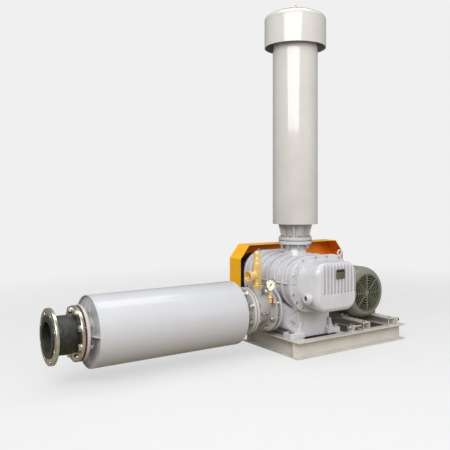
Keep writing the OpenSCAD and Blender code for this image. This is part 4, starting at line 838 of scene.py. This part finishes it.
def intake_silencer():
    low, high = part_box("intake_silencer")
    axis = (low + high) / 2
    tube = (high.x - low.x) / 2
    foot = low.z + TUBE_FOOT
    under = foot - COLLAR_THICK
    rim_top = low.z + FLANGE_THICK
    place = at(axis.x, axis.y, 0)
    shell = lathe(filleted([(INLET_BORE, foot), (tube, foot), (tube, high.z),
                            (CORE_HOLE, high.z), (CORE_HOLE, foot + PLATE_THICK),
                            (INLET_BORE, foot + PLATE_THICK)], 1.2 * MM), SHELL_SIDES)
    piece("intake_tube", join((shell, place)), tube_enamel,
          replaces=("intake_silencer",))
    neck = lathe(filleted([(INLET_BORE, low.z + 1 * MM), (NECK_OUTER, low.z + 1 * MM),
                           (NECK_OUTER, under), (COLLAR, under), (COLLAR, foot + 1 * MM),
                           (INLET_BORE, foot + 1 * MM)], 1.5 * MM))
    rim = flange(INLET_FLANGE, INLET_BORE, FLANGE_THICK, INLET_PCD, INLET_HOLE)
    height = under - low.z - FLANGE_THICK
    outline = filleted([(NECK_OUTER - SUNK, 0), (FIN_FOOT, 0), (FIN_FOOT, TOE),
                        (COLLAR - 1 * MM, height), (NECK_OUTER - SUNK, height)], 1 * MM, 2)
    run = [(FIN_FOOT, 0), (NECK_OUTER, 0), (NECK_OUTER, height), (COLLAR, height)]
    turns = [place @ at(z=rim_top) @ Matrix.Rotation((k + 0.5) * math.pi / 2, 4, "Z")
             for k in range(4)]
    fins, lines = braces(outline, run, FIN_THICK, turns)
    piece("intake_neck", join((neck, place), (rim, place @ at(z=low.z)), *fins),
          pipe_enamel)
    rings = [ring_path((axis.x, axis.y, z), radius, "Z") for z, radius in (
        (rim_top, NECK_OUTER), (under, NECK_OUTER), (foot, COLLAR))]
    welds("intake_welds", rings + lines, pipe_enamel, 2.6 * MM)


CAP_SHEET = 2.5 * MM
CAP_SKIRT = 171 * MM
CAP_KNUCKLE = 34 * MM
CAP_HOLE = 8.5 * MM
HEM = 3.4 * MM


def cap_profile(radius, height, inset):
    """Skirt, rounded knuckle and shallow crown, from the rim to the top of the dome."""
    outer = radius - inset
    knuckle = CAP_KNUCKLE - inset
    across = outer - knuckle
    side = height - inset - CAP_SKIRT
    crown = (across ** 2 + side ** 2 - knuckle ** 2) / (2 * (side - knuckle))
    opening = math.asin(across / (crown - knuckle))
    points = [(outer, 0)]
    for k in range(13):
        a = k / 12 * (math.pi / 2 - opening)
        points.append((across + knuckle * math.cos(a), CAP_SKIRT + knuckle * math.sin(a)))
    for k in range(1, 16):
        a = opening * (1 - k / 16)
        points.append((crown * math.sin(a), height - inset - crown + crown * math.cos(a)))
    return points


def intake_cap():
    low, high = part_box("intake_cap")
    axis = (low + high) / 2
    radius = (high.x - low.x) / 2
    height = high.z - low.z
    skin = (cap_profile(radius, height, 0.0)
            + [(CAP_HOLE, height), (CAP_HOLE, height - CAP_SHEET)]
            + cap_profile(radius, height, CAP_SHEET)[::-1])
    hem = circle(HEM, 14, 0.0, radius - HEM, HEM)
    seam = filleted(rectangle(radius - 1 * MM, CAP_SKIRT - 3 * MM, radius,
                              CAP_SKIRT - 1 * MM), 0.4 * MM, 2)
    place = at(axis.x, axis.y, low.z)
    forms = [(lathe(profile, SHELL_SIDES), place) for profile in (skin, hem, seam)]
    piece("intake_cap_shell", join(*forms), tube_enamel, replaces=("intake_cap",))


# Discharge silencer, its rubber joint and flanges

BIG_FLANGE = 140 * MM
BIG_FLANGE_THICK = 16 * MM
BIG_PCD = 120 * MM
BIG_HOLE = 11.5 * MM
PIPE_OUTER = 82.5 * MM
PIPE_BORE = 77.5 * MM
SHEET = 2.5 * MM
END_RECESS = 12 * MM
END_PLATE = 6 * MM
NECK_LEFT = 48 * MM
NECK_RIGHT = 90 * MM
GUSSET_THICK = 8 * MM
GUSSET_INSET = 12 * MM
SEAM_ANGLE = math.radians(118)
SEAM_DEPTH = 0.998


def silencer_gussets(x0, x1, outer, axis_z):
    """Four plates that brace a neck from its flange to the end plate, and their welds."""
    outline = filleted([(x0, PIPE_OUTER - SUNK), (x1, PIPE_OUTER - SUNK), (x1, outer),
                        (x0, PIPE_OUTER + TOE)], 1.5 * MM, 2)
    if x1 < x0:
        outline = outline[::-1]
    run = [(x0, PIPE_OUTER), (x1, PIPE_OUTER), (x1, outer)]
    turns = [at(z=axis_z) @ Matrix.Rotation(k * math.pi / 2, 4, "X") for k in range(4)]
    return braces(outline, run, GUSSET_THICK, turns)


def discharge_silencer():
    low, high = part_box("discharge_silencer")
    axis = (low + high) / 2
    radius = (high.y - low.y) / 2
    x0, x1 = low.x + NECK_LEFT, high.x - NECK_RIGHT
    inner = radius - SHEET
    a, b = x0 + END_RECESS, x1 - END_RECESS
    shell = lathe(filleted([
        (radius, x0), (radius, x1), (inner, x1), (inner, b), (PIPE_BORE, b),
        (PIPE_BORE, b - END_PLATE), (inner, b - END_PLATE), (inner, a + END_PLATE),
        (PIPE_BORE, a + END_PLATE), (PIPE_BORE, a), (inner, a), (inner, x0)], 1 * MM, 3),
        SHELL_SIDES)
    turned = at(z=axis.z) @ TO_X
    piece("silencer_shell", join((shell, turned)), shell_enamel,
          replaces=("discharge_silencer",))
    pipe = lathe(filleted(rectangle(PIPE_BORE, low.x, PIPE_OUTER, high.x), 1 * MM, 2))
    reach = radius - GUSSET_INSET
    rim_left, rim_right = low.x + BIG_FLANGE_THICK, high.x - BIG_FLANGE_THICK
    flanges = [(flange(BIG_FLANGE, PIPE_BORE, BIG_FLANGE_THICK, BIG_PCD, BIG_HOLE),
                at(x, 0, axis.z) @ TO_X) for x in (low.x, rim_right)]
    left, left_lines = silencer_gussets(rim_left, a, reach, axis.z)
    right, right_lines = silencer_gussets(rim_right, b, reach, axis.z)
    piece("silencer_ends", join((pipe, turned), *flanges, *left, *right), pipe_enamel)
    rings = [ring_path((x, 0, axis.z), r, "X") for x, r in (
        (rim_left, PIPE_OUTER), (rim_right, PIPE_OUTER), (a, PIPE_OUTER), (b, PIPE_OUTER),
        (a, inner), (b, inner))]
    welds("silencer_welds", rings + left_lines + right_lines, pipe_enamel, 3.2 * MM)
    seam = [(x, radius * math.cos(SEAM_ANGLE) * SEAM_DEPTH,
             axis.z - radius * math.sin(SEAM_ANGLE) * SEAM_DEPTH)
            for x in (x0 + 2 * MM, x1 - 2 * MM)]
    welds("silencer_seam", [(seam, False)], shell_enamel, 1.6 * MM)


RUBBER_BORE = 75 * MM
RUBBER_BODY = 98.5 * MM
RUBBER_WAIST = RUBBER_BODY - 12.6 * MM
ARCH_RISE = 5 * MM
PLY_DEPTH = 0.9 * MM
DIMPLE_DEPTH = 0.8 * MM
LIP = 6 * MM
RING_THICK = 16 * MM
RING_WAIST = 86.5 * MM
SOCKET = 31 * MM


def rubber_joint():
    """A moulded arch between two bead lips, with the wrinkles of its fabric plies."""
    low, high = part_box("rubber_joint")
    axis = (low + high) / 2
    length = high.x - low.x
    lip = (high.y - low.y) / 2
    foot = RUBBER_BODY - ARCH_RISE
    flat = LIP + RING_THICK
    rise = flat + 3 * MM
    profile = [(RUBBER_BORE, 0)]
    profile += filleted([(RUBBER_BORE, 0), (lip, 0), (lip, LIP), (RUBBER_WAIST, LIP),
                         (RUBBER_WAIST, flat), (foot, rise)], 2.2 * MM, 3, closed=False)[1:]
    for k in range(1, 24):
        share = k / 24
        bulge = math.sin(share * math.pi) ** 0.6 * ARCH_RISE
        profile.append((foot + bulge, rise + share * (length - 2 * rise)))
    half = profile[:profile.index(min(profile[2:], key=lambda p: abs(p[1] - flat)))]
    profile += [(r, length - h) for r, h in half[::-1]]
    profile += [(RUBBER_BORE, length * k / 12) for k in range(11, 0, -1)]
    form = lathe(profile, 144)
    bmesh.ops.remove_doubles(form, verts=form.verts[:], dist=0.05 * MM)
    for vert in form.verts:
        radius = math.hypot(vert.co.x, vert.co.y)
        angle = math.atan2(vert.co.y, vert.co.x)
        inside = flat + 2 * MM < vert.co.z < length - flat - 2 * MM
        if inside and radius > RUBBER_WAIST:
            ply = noise.noise(Vector((vert.co.z * 60, angle * 1.5, 0.7)))
            dimple = noise.noise(vert.co * 45)
            factor = 1 + (ply * PLY_DEPTH + dimple * DIMPLE_DEPTH - PLY_DEPTH) / radius
            vert.co.x *= factor
            vert.co.y *= factor
    bmesh.ops.recalc_face_normals(form, faces=form.faces)
    piece("rubber_bellows", join((form, at(low.x, 0, axis.z) @ TO_X)), joint_rubber,
          replaces=("rubber_joint",), crease=50)


def joint_rings():
    low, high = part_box("joint_flanges")
    axis_z = (low.z + high.z) / 2
    rings = [(flange(BIG_FLANGE, RING_WAIST, RING_THICK, BIG_PCD, BIG_HOLE),
              at(x, 0, axis_z) @ TO_X) for x in (low.x, high.x - RING_THICK)]
    piece("joint_ring_pair", join(*rings), zinc_plate, replaces=("joint_flanges",))


def tee():
    """The tee pipe, with beads where its flanges and sockets are welded on."""
    casting("tee_pipe", 1.8 * MM, 3, pipe_enamel)
    low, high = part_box("tee_pipe")
    axis_z = (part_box("discharge_silencer")[0].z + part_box("discharge_silencer")[1].z) / 2
    socket_x = (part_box("relief_disc")[0].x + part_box("relief_disc")[1].x) / 2
    saddle = [(x, y, axis_z + math.sqrt(PIPE_OUTER ** 2 - y * y))
              for x, y in circle(SOCKET, 64, 0.0, socket_x)]
    rims = [ring_path((x, 0, axis_z), PIPE_OUTER, "X")
            for x in (low.x + BIG_FLANGE_THICK, high.x - BIG_FLANGE_THICK)]
    welds("tee_welds", [(saddle, True)] + rims, pipe_enamel, 3 * MM)


# Fasteners

M20 = 20 * MM
M16 = 16 * MM
M12 = 12 * MM
BOLT_HEAD = 0.65
NUT = 0.8
TAIL = 1.1
LONG_TAIL = 1.6
JACK_REACH = 54 * MM
GASKET = 3 * MM


def hexagon_corner(half):
    """From a hexagon's axis to its corner, for half its width across the flats."""
    return half / math.cos(math.radians(30))


def flange_bolts():
    """Studs at the blower and the silencer, and bolts at the rubber joint."""
    tee_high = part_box("tee_pipe")[1]
    rubber_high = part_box("rubber_joint")[1]
    silencer_low, silencer_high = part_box("discharge_silencer")
    axis_z = (silencer_low.z + silencer_high.z) / 2

    def circle_at(x):
        return [((x, b, axis_z + a), (1, 0, 0)) for a, b in bolt_circle(BIG_PCD)]

    fasteners("blower_flange_studs", circle_at(tee_high.x - BIG_FLANGE_THICK),
              replaces=("discharge_bolts",), Diameter=M20, Grip=58 * MM, Head=NUT,
              Start_Tail=TAIL, Nut=False)
    fasteners("silencer_flange_studs", circle_at(silencer_high.x - BIG_FLANGE_THICK),
              Diameter=M20, Grip=2 * BIG_FLANGE_THICK + GASKET, Head=NUT, Start_Tail=TAIL)
    fasteners("joint_bolts", circle_at(rubber_high.x - LIP - RING_THICK), Diameter=M20,
              Grip=RING_THICK + LIP + GASKET + BIG_FLANGE_THICK, Head=BOLT_HEAD)


def inlet_bolts():
    low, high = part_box("intake_silencer")
    axis = (low + high) / 2
    places = [((axis.x + x, axis.y + y, low.z + FLANGE_THICK), (0, 0, -1))
              for x, y in bolt_circle(INLET_PCD)]
    fasteners("inlet_flange_bolts", places, replaces=("intake_bolts",), Diameter=M16,
              Grip=45 * MM, Head=BOLT_HEAD, End_Tail=LONG_TAIL)


def corner_places(low, high, half, z, turn):
    """The four corner places inside a box of bolts, for half a head's width."""
    corner = hexagon_corner(half)
    return [((x, y, z), (0, 0, turn)) for x in (low.x + corner, high.x - corner)
            for y in (low.y + half, high.y - half)]


def pedestal_bolts():
    low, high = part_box("pedestal_bolts")
    fasteners("pedestal_hold_down_bolts",
              corner_places(low, high, 12 * MM, low.z + BOLT_HEAD * M16, 1),
              replaces=("pedestal_bolts",), Diameter=M16, Grip=42 * MM)


def carriage_bolts():
    """Clamp, foot and jacking bolts, which slide with the motor."""
    half = 9 * MM
    head = BOLT_HEAD * M12
    low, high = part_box("clamp_bolts")
    fasteners("rail_clamp_bolts", corner_places(low, high, half, low.z + head, 1), CARRIAGE,
              ("clamp_bolts",), Diameter=M12, Grip=58.6 * MM)
    low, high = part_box("motor_foot_bolts")
    fasteners("motor_hold_down_bolts", corner_places(low, high, half, high.z - head, -1),
              CARRIAGE, ("motor_foot_bolts",), Diameter=M12, Grip=22 * MM)
    low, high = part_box("jack_bolts")
    rail_low, rail_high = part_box("motor_rails")
    corner = hexagon_corner(half)
    mid_z = (low.z + high.z) / 2
    left = low.x + head
    right = high.x - head
    for name, x, turn, grip, replaces in (
            ("left_jack_bolts", left, 1, rail_low.x + JACK_REACH - left, ("jack_bolts",)),
            ("right_jack_bolts", right, -1, right - rail_high.x, ())):
        places = [((x, y, mid_z), (turn, 0, 0)) for y in (low.y + corner, high.y - corner)]
        fasteners(name, places, CARRIAGE, replaces, Diameter=M12, Grip=grip, Nut=False)


RIM_CORNER = 140 * MM
RIM_INSET = 11 * MM
RIM_ANGLES = [math.radians(a) for a in (15, 40, 65)]


def rim_screws():
    """Small hexagon screws round the rims of both side plates."""
    low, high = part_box("blower_screws")
    plate_low, plate_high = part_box("front_side_plate")
    centre = (low + high) / 2
    head = 6 * MM
    half_w = (plate_high.x - plate_low.x) / 2
    half_h = (high.z - low.z) / 2 + 4 * MM
    reach = RIM_CORNER - RIM_INSET
    places = []
    for y, turn in ((low.y + head, 1), (high.y - head, -1)):
        for sx in (-1, 1):
            for sz in (-1, 1):
                for a in RIM_ANGLES:
                    places.append((
                        (centre.x + sx * (half_w - RIM_CORNER + reach * math.cos(a)), y,
                         centre.z + sz * (half_h - RIM_CORNER + reach * math.sin(a))),
                        (0, turn, 0)))
        for x in (-45 * MM, 45 * MM):
            places.append(((centre.x + x, y, centre.z + half_h - RIM_INSET), (0, turn, 0)))
    fasteners("side_plate_screws", places, replaces=("blower_screws",), Diameter=8.2 * MM,
              Grip=20 * MM, Head=0.73, Nut=False)


# Sight glass, gauge and nameplate

def sight_glass():
    low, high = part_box("sight_glass")
    centre = (low + high) / 2
    outer = 26.5 * MM
    place = at(low.x, centre.y, centre.z) @ TO_X
    depth = 9 * MM
    ring = lathe(filleted([(14.5 * MM, 0.5 * MM), (17 * MM, 0), (outer - 3 * MM, 0),
                           (outer, 3 * MM), (outer, depth), (14.5 * MM, depth)], 0.8 * MM, 3),
                 64)
    piece("sight_glass_ring", join((ring, place)), cast_enamel,
          replaces=("sight_glass",))
    lens = lathe([(0, 3.6 * MM), (6 * MM, 3.8 * MM), (11 * MM, 4.4 * MM), (15 * MM, 5.4 * MM),
                  (15 * MM, 9 * MM), (0, 9 * MM)], 64)
    piece("sight_glass_lens", join((lens, place)), amber_lens)
    target = lathe([(0, 3.3 * MM), (3.4 * MM, 3.3 * MM), (3.6 * MM, 3.7 * MM),
                    (3.6 * MM, 4.2 * MM), (0, 4.2 * MM)], 32)
    piece("oil_level_mark", join((target, place)), black_moulding)


def gauge():
    low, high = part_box("gauge_case")
    centre = (low + high) / 2
    radius = (high.x - low.x) / 2
    waist = radius - 1.5 * MM
    inner = radius - 4 * MM
    depth = high.y - low.y
    place = at(centre.x, low.y, centre.z) @ TO_Y
    case = lathe(filleted([
        (radius - 5 * MM, 0.6 * MM), (radius - 2 * MM, 0), (radius, 2 * MM), (radius, 7 * MM),
        (waist, 8 * MM), (waist, depth), (4 * MM, depth), (4 * MM, depth - 8 * MM),
        (inner, depth - 8 * MM), (inner, 6 * MM), (radius - 5 * MM, 4 * MM)], 0.9 * MM, 3))
    back = lathe(rectangle(0, depth - 0.2 * MM, 4.2 * MM, depth - 7 * MM), 32)
    piece("gauge_bezel", join((case, place), (back, place)), bezel_metal,
          replaces=("gauge_case",))
    dial_low, dial_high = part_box("gauge_dial")
    face = dial_low.y - low.y
    dial_radius = (dial_high.x - dial_low.x) / 2
    dial = lathe(filleted(rectangle(2.6 * MM, face, dial_radius, face + 1.8 * MM), 0.2 * MM, 2))
    piece("gauge_face", join((dial, place)), dial_face, replaces=("gauge_dial",))
    dial_marks(Vector((centre.x, dial_low.y, centre.z)), dial_radius)
    glass_low, glass_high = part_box("gauge_glass")
    pane = lathe(rectangle(0, 0, (glass_high.x - glass_low.x) / 2, 1.6 * MM))
    piece("gauge_pane", join((pane, at(centre.x, glass_low.y, centre.z) @ TO_Y)), clear_glass,
          replaces=("gauge_glass",))


DIAL_STEPS = 10
DIGIT_SIZE = 4.6 * MM
DIGIT_INSET = 10.5 * MM
SWEEP_START = math.radians(-135)
SWEEP = math.radians(270)


def dial_direction(step, steps):
    """Outward from the dial's centre at a step of its sweep."""
    a = SWEEP_START + SWEEP * step / steps
    return Vector((math.sin(a), 0, math.cos(a)))


def dial_marks(centre, radius):
    """Strokes at every fifth of a step, and the numbers from 0 to 10."""
    front = centre + Vector((0, -0.05 * MM, 0))
    edge = radius - 2 * MM
    long_marks, short_marks = [], []
    for k in range(DIAL_STEPS * 5 + 1):
        outward = dial_direction(k, DIAL_STEPS * 5)
        marks, depth = (short_marks, 4.2 * MM) if k % 5 else (long_marks, 6.2 * MM)
        marks.append(([front + outward * (radius - depth), front + outward * edge], False))
    arc = [front + dial_direction(k, 90) * edge for k in range(91)]
    for name, lines, width in (("dial_long_marks", long_marks, 0.7 * MM),
                               ("dial_short_marks", short_marks, 0.35 * MM),
                               ("dial_arc", [(arc, False)], 0.35 * MM)):
        bars(name, lines, dial_ink, width, 0.2 * MM)
    digits = [number(str(k), DIGIT_SIZE, centre + Vector((0, -0.1 * MM, 0))
                     + dial_direction(k, DIAL_STEPS) * (radius - DIGIT_INSET))
              for k in range(0, DIAL_STEPS + 1, 2)]
    piece("dial_numbers", join(*digits), dial_ink)


def number(text, size, place):
    """A flat figure that faces -Y, centred on its place, as a form and its matrix."""
    curve = bpy.data.curves.new("number", "FONT")
    curve.body = text
    curve.size = size
    curve.align_x = "CENTER"
    curve.align_y = "CENTER"
    curve.extrude = 0.05 * MM
    made = new_object("scratch", curve)
    mesh = evaluated_mesh(made)
    bpy.data.objects.remove(made)
    form = bmesh.new()
    form.from_mesh(mesh)
    bpy.data.meshes.remove(mesh)
    return form, Matrix.Translation(place) @ TO_MINUS_Y


def needle():
    """A tapered pointer with a round boss and a short tail, at the zero of the dial."""
    low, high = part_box("gauge_needle")
    dial_low, dial_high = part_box("gauge_dial")
    axis = (dial_low + dial_high) / 2
    tip = 28.5 * MM
    outline = filleted([(-1.8 * MM, -14 * MM), (1.8 * MM, -14 * MM), (1.1 * MM, 0),
                        (0.35 * MM, tip), (-0.35 * MM, tip), (-1.1 * MM, 0)], 0.4 * MM, 2)
    blade = plate(outline, [], 0.8 * MM, 0.15 * MM)
    boss = lathe(filleted(rectangle(0, -0.9 * MM, 4 * MM, 1.6 * MM), 0.5 * MM, 3,
                          closed=False), 32)
    spindle = lathe(rectangle(0, 0, 2 * MM, high.y - low.y - 1.5 * MM), 24)
    turn = Matrix.Rotation(SWEEP_START, 4, "Y")
    forms = [(blade, at(axis.x, low.y + 1.2 * MM, axis.z) @ turn @ TO_MINUS_Y),
             (boss, at(axis.x, low.y + 1.6 * MM, axis.z) @ TO_MINUS_Y),
             (spindle, at(axis.x, low.y + 1 * MM, axis.z) @ TO_Y)]
    piece("gauge_pointer", join(*forms), dial_ink, "needle",
          ("gauge_needle",))


ROW_STEP = 6.6 * MM


def nameplate():
    """A blank etched plate: dark header, ruled rows and four rivets."""
    low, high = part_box("nameplate")
    width, height = high.x - low.x, high.z - low.z
    base = plate(filleted(rectangle(0, 0, width, height), 3 * MM), [],
                 high.y - low.y - 0.3 * MM, 0.25 * MM)
    place = at(low.x, high.y, low.z) @ TO_MINUS_Y
    piece("blank_plate", join((base, place)), plate_metal, replaces=("nameplate",))
    inset = 5 * MM
    band = filleted(rectangle(inset, height - inset - 11 * MM, width - inset,
                              height - inset), 1 * MM, 2)
    front = at(low.x, low.y + 0.35 * MM, low.z) @ TO_MINUS_Y
    piece("plate_header_band", join((plate(band, [], 0.3 * MM, 0.05 * MM), front)),
          plate_header)
    y = low.y + 0.25 * MM
    foot = low.z + inset + 2 * MM
    middle = low.x + width * 0.45
    rows = [([(low.x + inset, y, foot + k * ROW_STEP),
              (high.x - inset, y, foot + k * ROW_STEP)], False) for k in range(5)]
    rows.append(([(middle, y, foot), (middle, y, foot + 4 * ROW_STEP)], False))
    bars("plate_rows", rows, plate_header, 0.5 * MM, 0.3 * MM)
    edge = 2.6 * MM
    places = [((x, low.y + 0.4 * MM, z), (0, -1, 0)) for x in (low.x + edge, high.x - edge)
              for z in (low.z + edge, high.z - edge)]
    mesh = ruled(point_mesh(places), rivet_rule, zinc_plate, Radius=1.5 * MM, Rise=0.45)
    piece("plate_rivets", mesh, zinc_plate)


# Motor cowl

COWL_WALL = 2.5 * MM
COWL_SHOULDER = 64 * MM
GRILLE = 121 * MM
GRILLE_HUB = 18 * MM
GRILLE_RINGS = 6
GRILLE_SPOKES = 8
GRILLE_BAR = 4.4 * MM


def motor_cowl():
    """A drawn sheet cowl, rounded into a flat grille of rings and spokes."""
    low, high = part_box("motor_cowl")
    axis = (low + high) / 2
    radius = (high.x - low.x) / 2
    depth = high.y - low.y
    across = radius - GRILLE - 4 * MM
    outside, inside = [], []
    for k in range(15):
        a = k / 14 * math.pi / 2
        drop = COWL_SHOULDER * (1 - math.cos(a) ** 0.95)
        outside.append((GRILLE + 4 * MM + across * math.sin(a) ** 0.86, drop))
        inside.append((GRILLE + 3 * MM + (across - COWL_WALL + 1 * MM) * math.sin(a) ** 0.86,
                       COWL_WALL + drop))
    profile = ([(GRILLE, 0)] + outside + [(radius, depth), (radius - COWL_WALL, depth)]
               + inside[::-1] + [(GRILLE, COWL_WALL)])
    place = at(axis.x, low.y, axis.z) @ TO_Y
    hub = lathe(filleted([(0, -0.4 * MM), (GRILLE_HUB, 0), (GRILLE_HUB, COWL_WALL),
                          (0, COWL_WALL)], 0.8 * MM, 3, closed=False), 48)
    piece("cowl_shell", join((lathe(profile, 128), place), (hub, place)), motor_enamel,
          CARRIAGE, ("motor_cowl",))
    rings = []
    for k in range(1, GRILLE_RINGS + 1):
        r = GRILLE_HUB + k * (GRILLE - GRILLE_HUB) / (GRILLE_RINGS + 0.5)
        section = rectangle(r - GRILLE_BAR / 2, 0, r + GRILLE_BAR / 2, COWL_WALL)
        rings.append((lathe(filleted(section, 0.9 * MM, 3), 80), place))
    piece("grille_rings", join(*rings), motor_enamel, CARRIAGE)
    centre = Vector((axis.x, low.y + COWL_WALL / 2, axis.z))
    spokes = [([centre + Vector((x, 0, z)) * (GRILLE_HUB - 2 * MM),
                centre + Vector((x, 0, z)) * (GRILLE + 3 * MM)], False)
              for x, z in circle(1, GRILLE_SPOKES)]
    bars("grille_spokes", spokes, motor_enamel, 9 * MM, COWL_WALL, CARRIAGE)


# Base frame welds

CHANNEL_WIDTH = 50.8 * MM
CHANNEL_LIP = 9 * MM
END_INSET = 45 * MM
CROSS_MEMBERS = (-45 * MM, 148 * MM)


def frame_welds():
    low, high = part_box("base_frame")
    inner = high.y - CHANNEL_WIDTH
    lines = [([(x, y, CHANNEL_LIP), (x, y, high.z - CHANNEL_LIP)], False)
             for x in (low.x + END_INSET, *CROSS_MEMBERS, high.x - END_INSET)
             for y in (-inner, inner)]
    welds("frame_welds", lines, frame_enamel, 3.4 * MM)


# Pieces that change shape as the joints move

def belts():
    """The belts reach from pulley to pulley, also while the motor slides."""
    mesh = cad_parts["v_belts"].data.copy()
    made = piece("drive_belts", mesh, belt_rubber, None, ("v_belts",))
    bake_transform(made)


def lift_spring():
    """The spring closes up toward its fixed top as the relief disc lifts."""
    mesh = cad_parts["relief_spring"].data.copy()
    made = piece("relief_coil", mesh, cut_steel, replaces=("relief_spring",))
    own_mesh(made)


# Nodes whose own form is right, with their finishes
KEPT = [
    (frame_enamel, ("base_frame", "jack_brackets", "motor_rails")),
    (zinc_plate, ("drain_plug", "breather_plug", "siphon_tube", "cap_tie_rod")),
    (bare_iron, ("drive_rotor", "driven_rotor", "check_valve_body")),
    (cut_steel, ("drive_gear", "driven_gear", "rotor_bearings", "check_valve_flap",
                 "relief_disc", "motor_shaft")),
    (pulley_black, ("blower_pulley", "motor_pulley")),
    (black_moulding, ("shaft_seal", "motor_fan", "intake_gasket")),
    (guard_enamel, ("belt_guard",)),
    (filter_paper, ("filter_element",)),
    (cast_brass, ("cap_eye_nut",)),
    (red_grip, ("cock_lever",)),
    (gasket_sheet, ("flange_gaskets",)),
    (motor_enamel, ("motor_frame", "motor_end_shields", "terminal_box")),
]


def dress_kept_nodes():
    for material, nodes in KEPT:
        for node in nodes:
            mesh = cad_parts[node].data
            mesh.materials.clear()
            mesh.materials.append(material)


# Stage and light

BACKDROP = (240, 240, 240)
FLOOR_REACH = 9.0
FADE_START = 1.6
FADE_END = 4.2
SELF_LIT = 0.66


def seen_directly(tree):
    """1 for rays from the camera, also through clear glass."""
    path = add(tree, "ShaderNodeLightPath").outputs
    return calc(tree, "MAXIMUM", path["Is Camera Ray"], path["Is Transmission Ray"])


def make_world():
    world = bpy.data.worlds.new("studio")
    bpy.context.scene.world = world
    world.use_nodes = True
    tree = world.node_tree
    tree.nodes.clear()
    soft = add(tree, "ShaderNodeBackground", {"Color": (0.96, 0.98, 1.0, 1.0),
                                              "Strength": 0.36})
    shown = add(tree, "ShaderNodeBackground", {"Color": screen(*BACKDROP), "Strength": 1.0})
    both = mix_shader(tree, seen_directly(tree), soft.outputs[0], shown.outputs[0])
    add(tree, "ShaderNodeOutputWorld", {"Surface": both})


def diffuse(tree, *colour):
    return add(tree, "ShaderNodeBsdfDiffuse", {"Color": screen(*colour)}).outputs[0]


def make_floor():
    """A pale disc that keeps the shadow and fades into the backdrop at its rim."""
    form = bmesh.new()
    bmesh.ops.create_circle(form, cap_ends=True, segments=96,
                            radius=FLOOR_REACH)
    floor = new_object("floor", mesh_of(form, "floor"))
    material, tree = new_material("floor_paint")
    distance = vector_calc(tree, "LENGTH", object_place(tree))["Value"]
    fade = stretched(tree, distance, FADE_START, FADE_END)
    plain = add(tree, "ShaderNodeEmission", {"Color": screen(*BACKDROP),
                                             "Strength": 1.0}).outputs[0]
    shadowed = mix_shader(tree, SELF_LIT, diffuse(tree, 228, 228, 228), plain)
    far = mix_shader(tree, fade, shadowed, plain)
    whole = mix_shader(tree, seen_directly(tree), diffuse(tree, 158, 148, 132), far)
    add(tree, "ShaderNodeOutputMaterial", {"Surface": whole})
    floor.data.materials.append(material)


def area_lamp(name, place, target, width, height, power, colour):
    lamp = bpy.data.lights.new(name, "AREA")
    lamp.shape = "RECTANGLE"
    lamp.size = width
    lamp.size_y = height
    lamp.energy = power
    lamp.color = colour
    holder = new_object(name, lamp)
    aim(holder, place, Vector(target) - Vector(place))
    return holder


def make_lights():
    area_lamp("key", (-3.09, -2.53, 3.0), (-0.25, 0.0, 1.1), 4.5, 2.6, 172, (1.0, 0.995, 0.985))
    fill = area_lamp("front_fill", (1.8, -3.6, 1.9), (-0.5, 0.0, 0.5), 1.6, 1.6, 55,
                     (1.0, 0.99, 0.97))
    fill.visible_glossy = False
    area_lamp("top", (-0.6, 0.2, 4.4), (-0.6, 0.0, 0.4), 3.6, 2.0, 50, (0.96, 0.98, 1.0))


make_camera()
make_world()
make_floor()
make_lights()
dress_kept_nodes()
blower_castings()
brass_castings()
belts()
lift_spring()
intake_silencer()
intake_cap()
discharge_silencer()
rubber_joint()
joint_rings()
tee()
flange_bolts()
inlet_bolts()
pedestal_bolts()
carriage_bolts()
rim_screws()
sight_glass()
gauge()
needle()
nameplate()
motor_cowl()
frame_welds()

bpy.context.scene.view_settings.view_transform = "Standard"
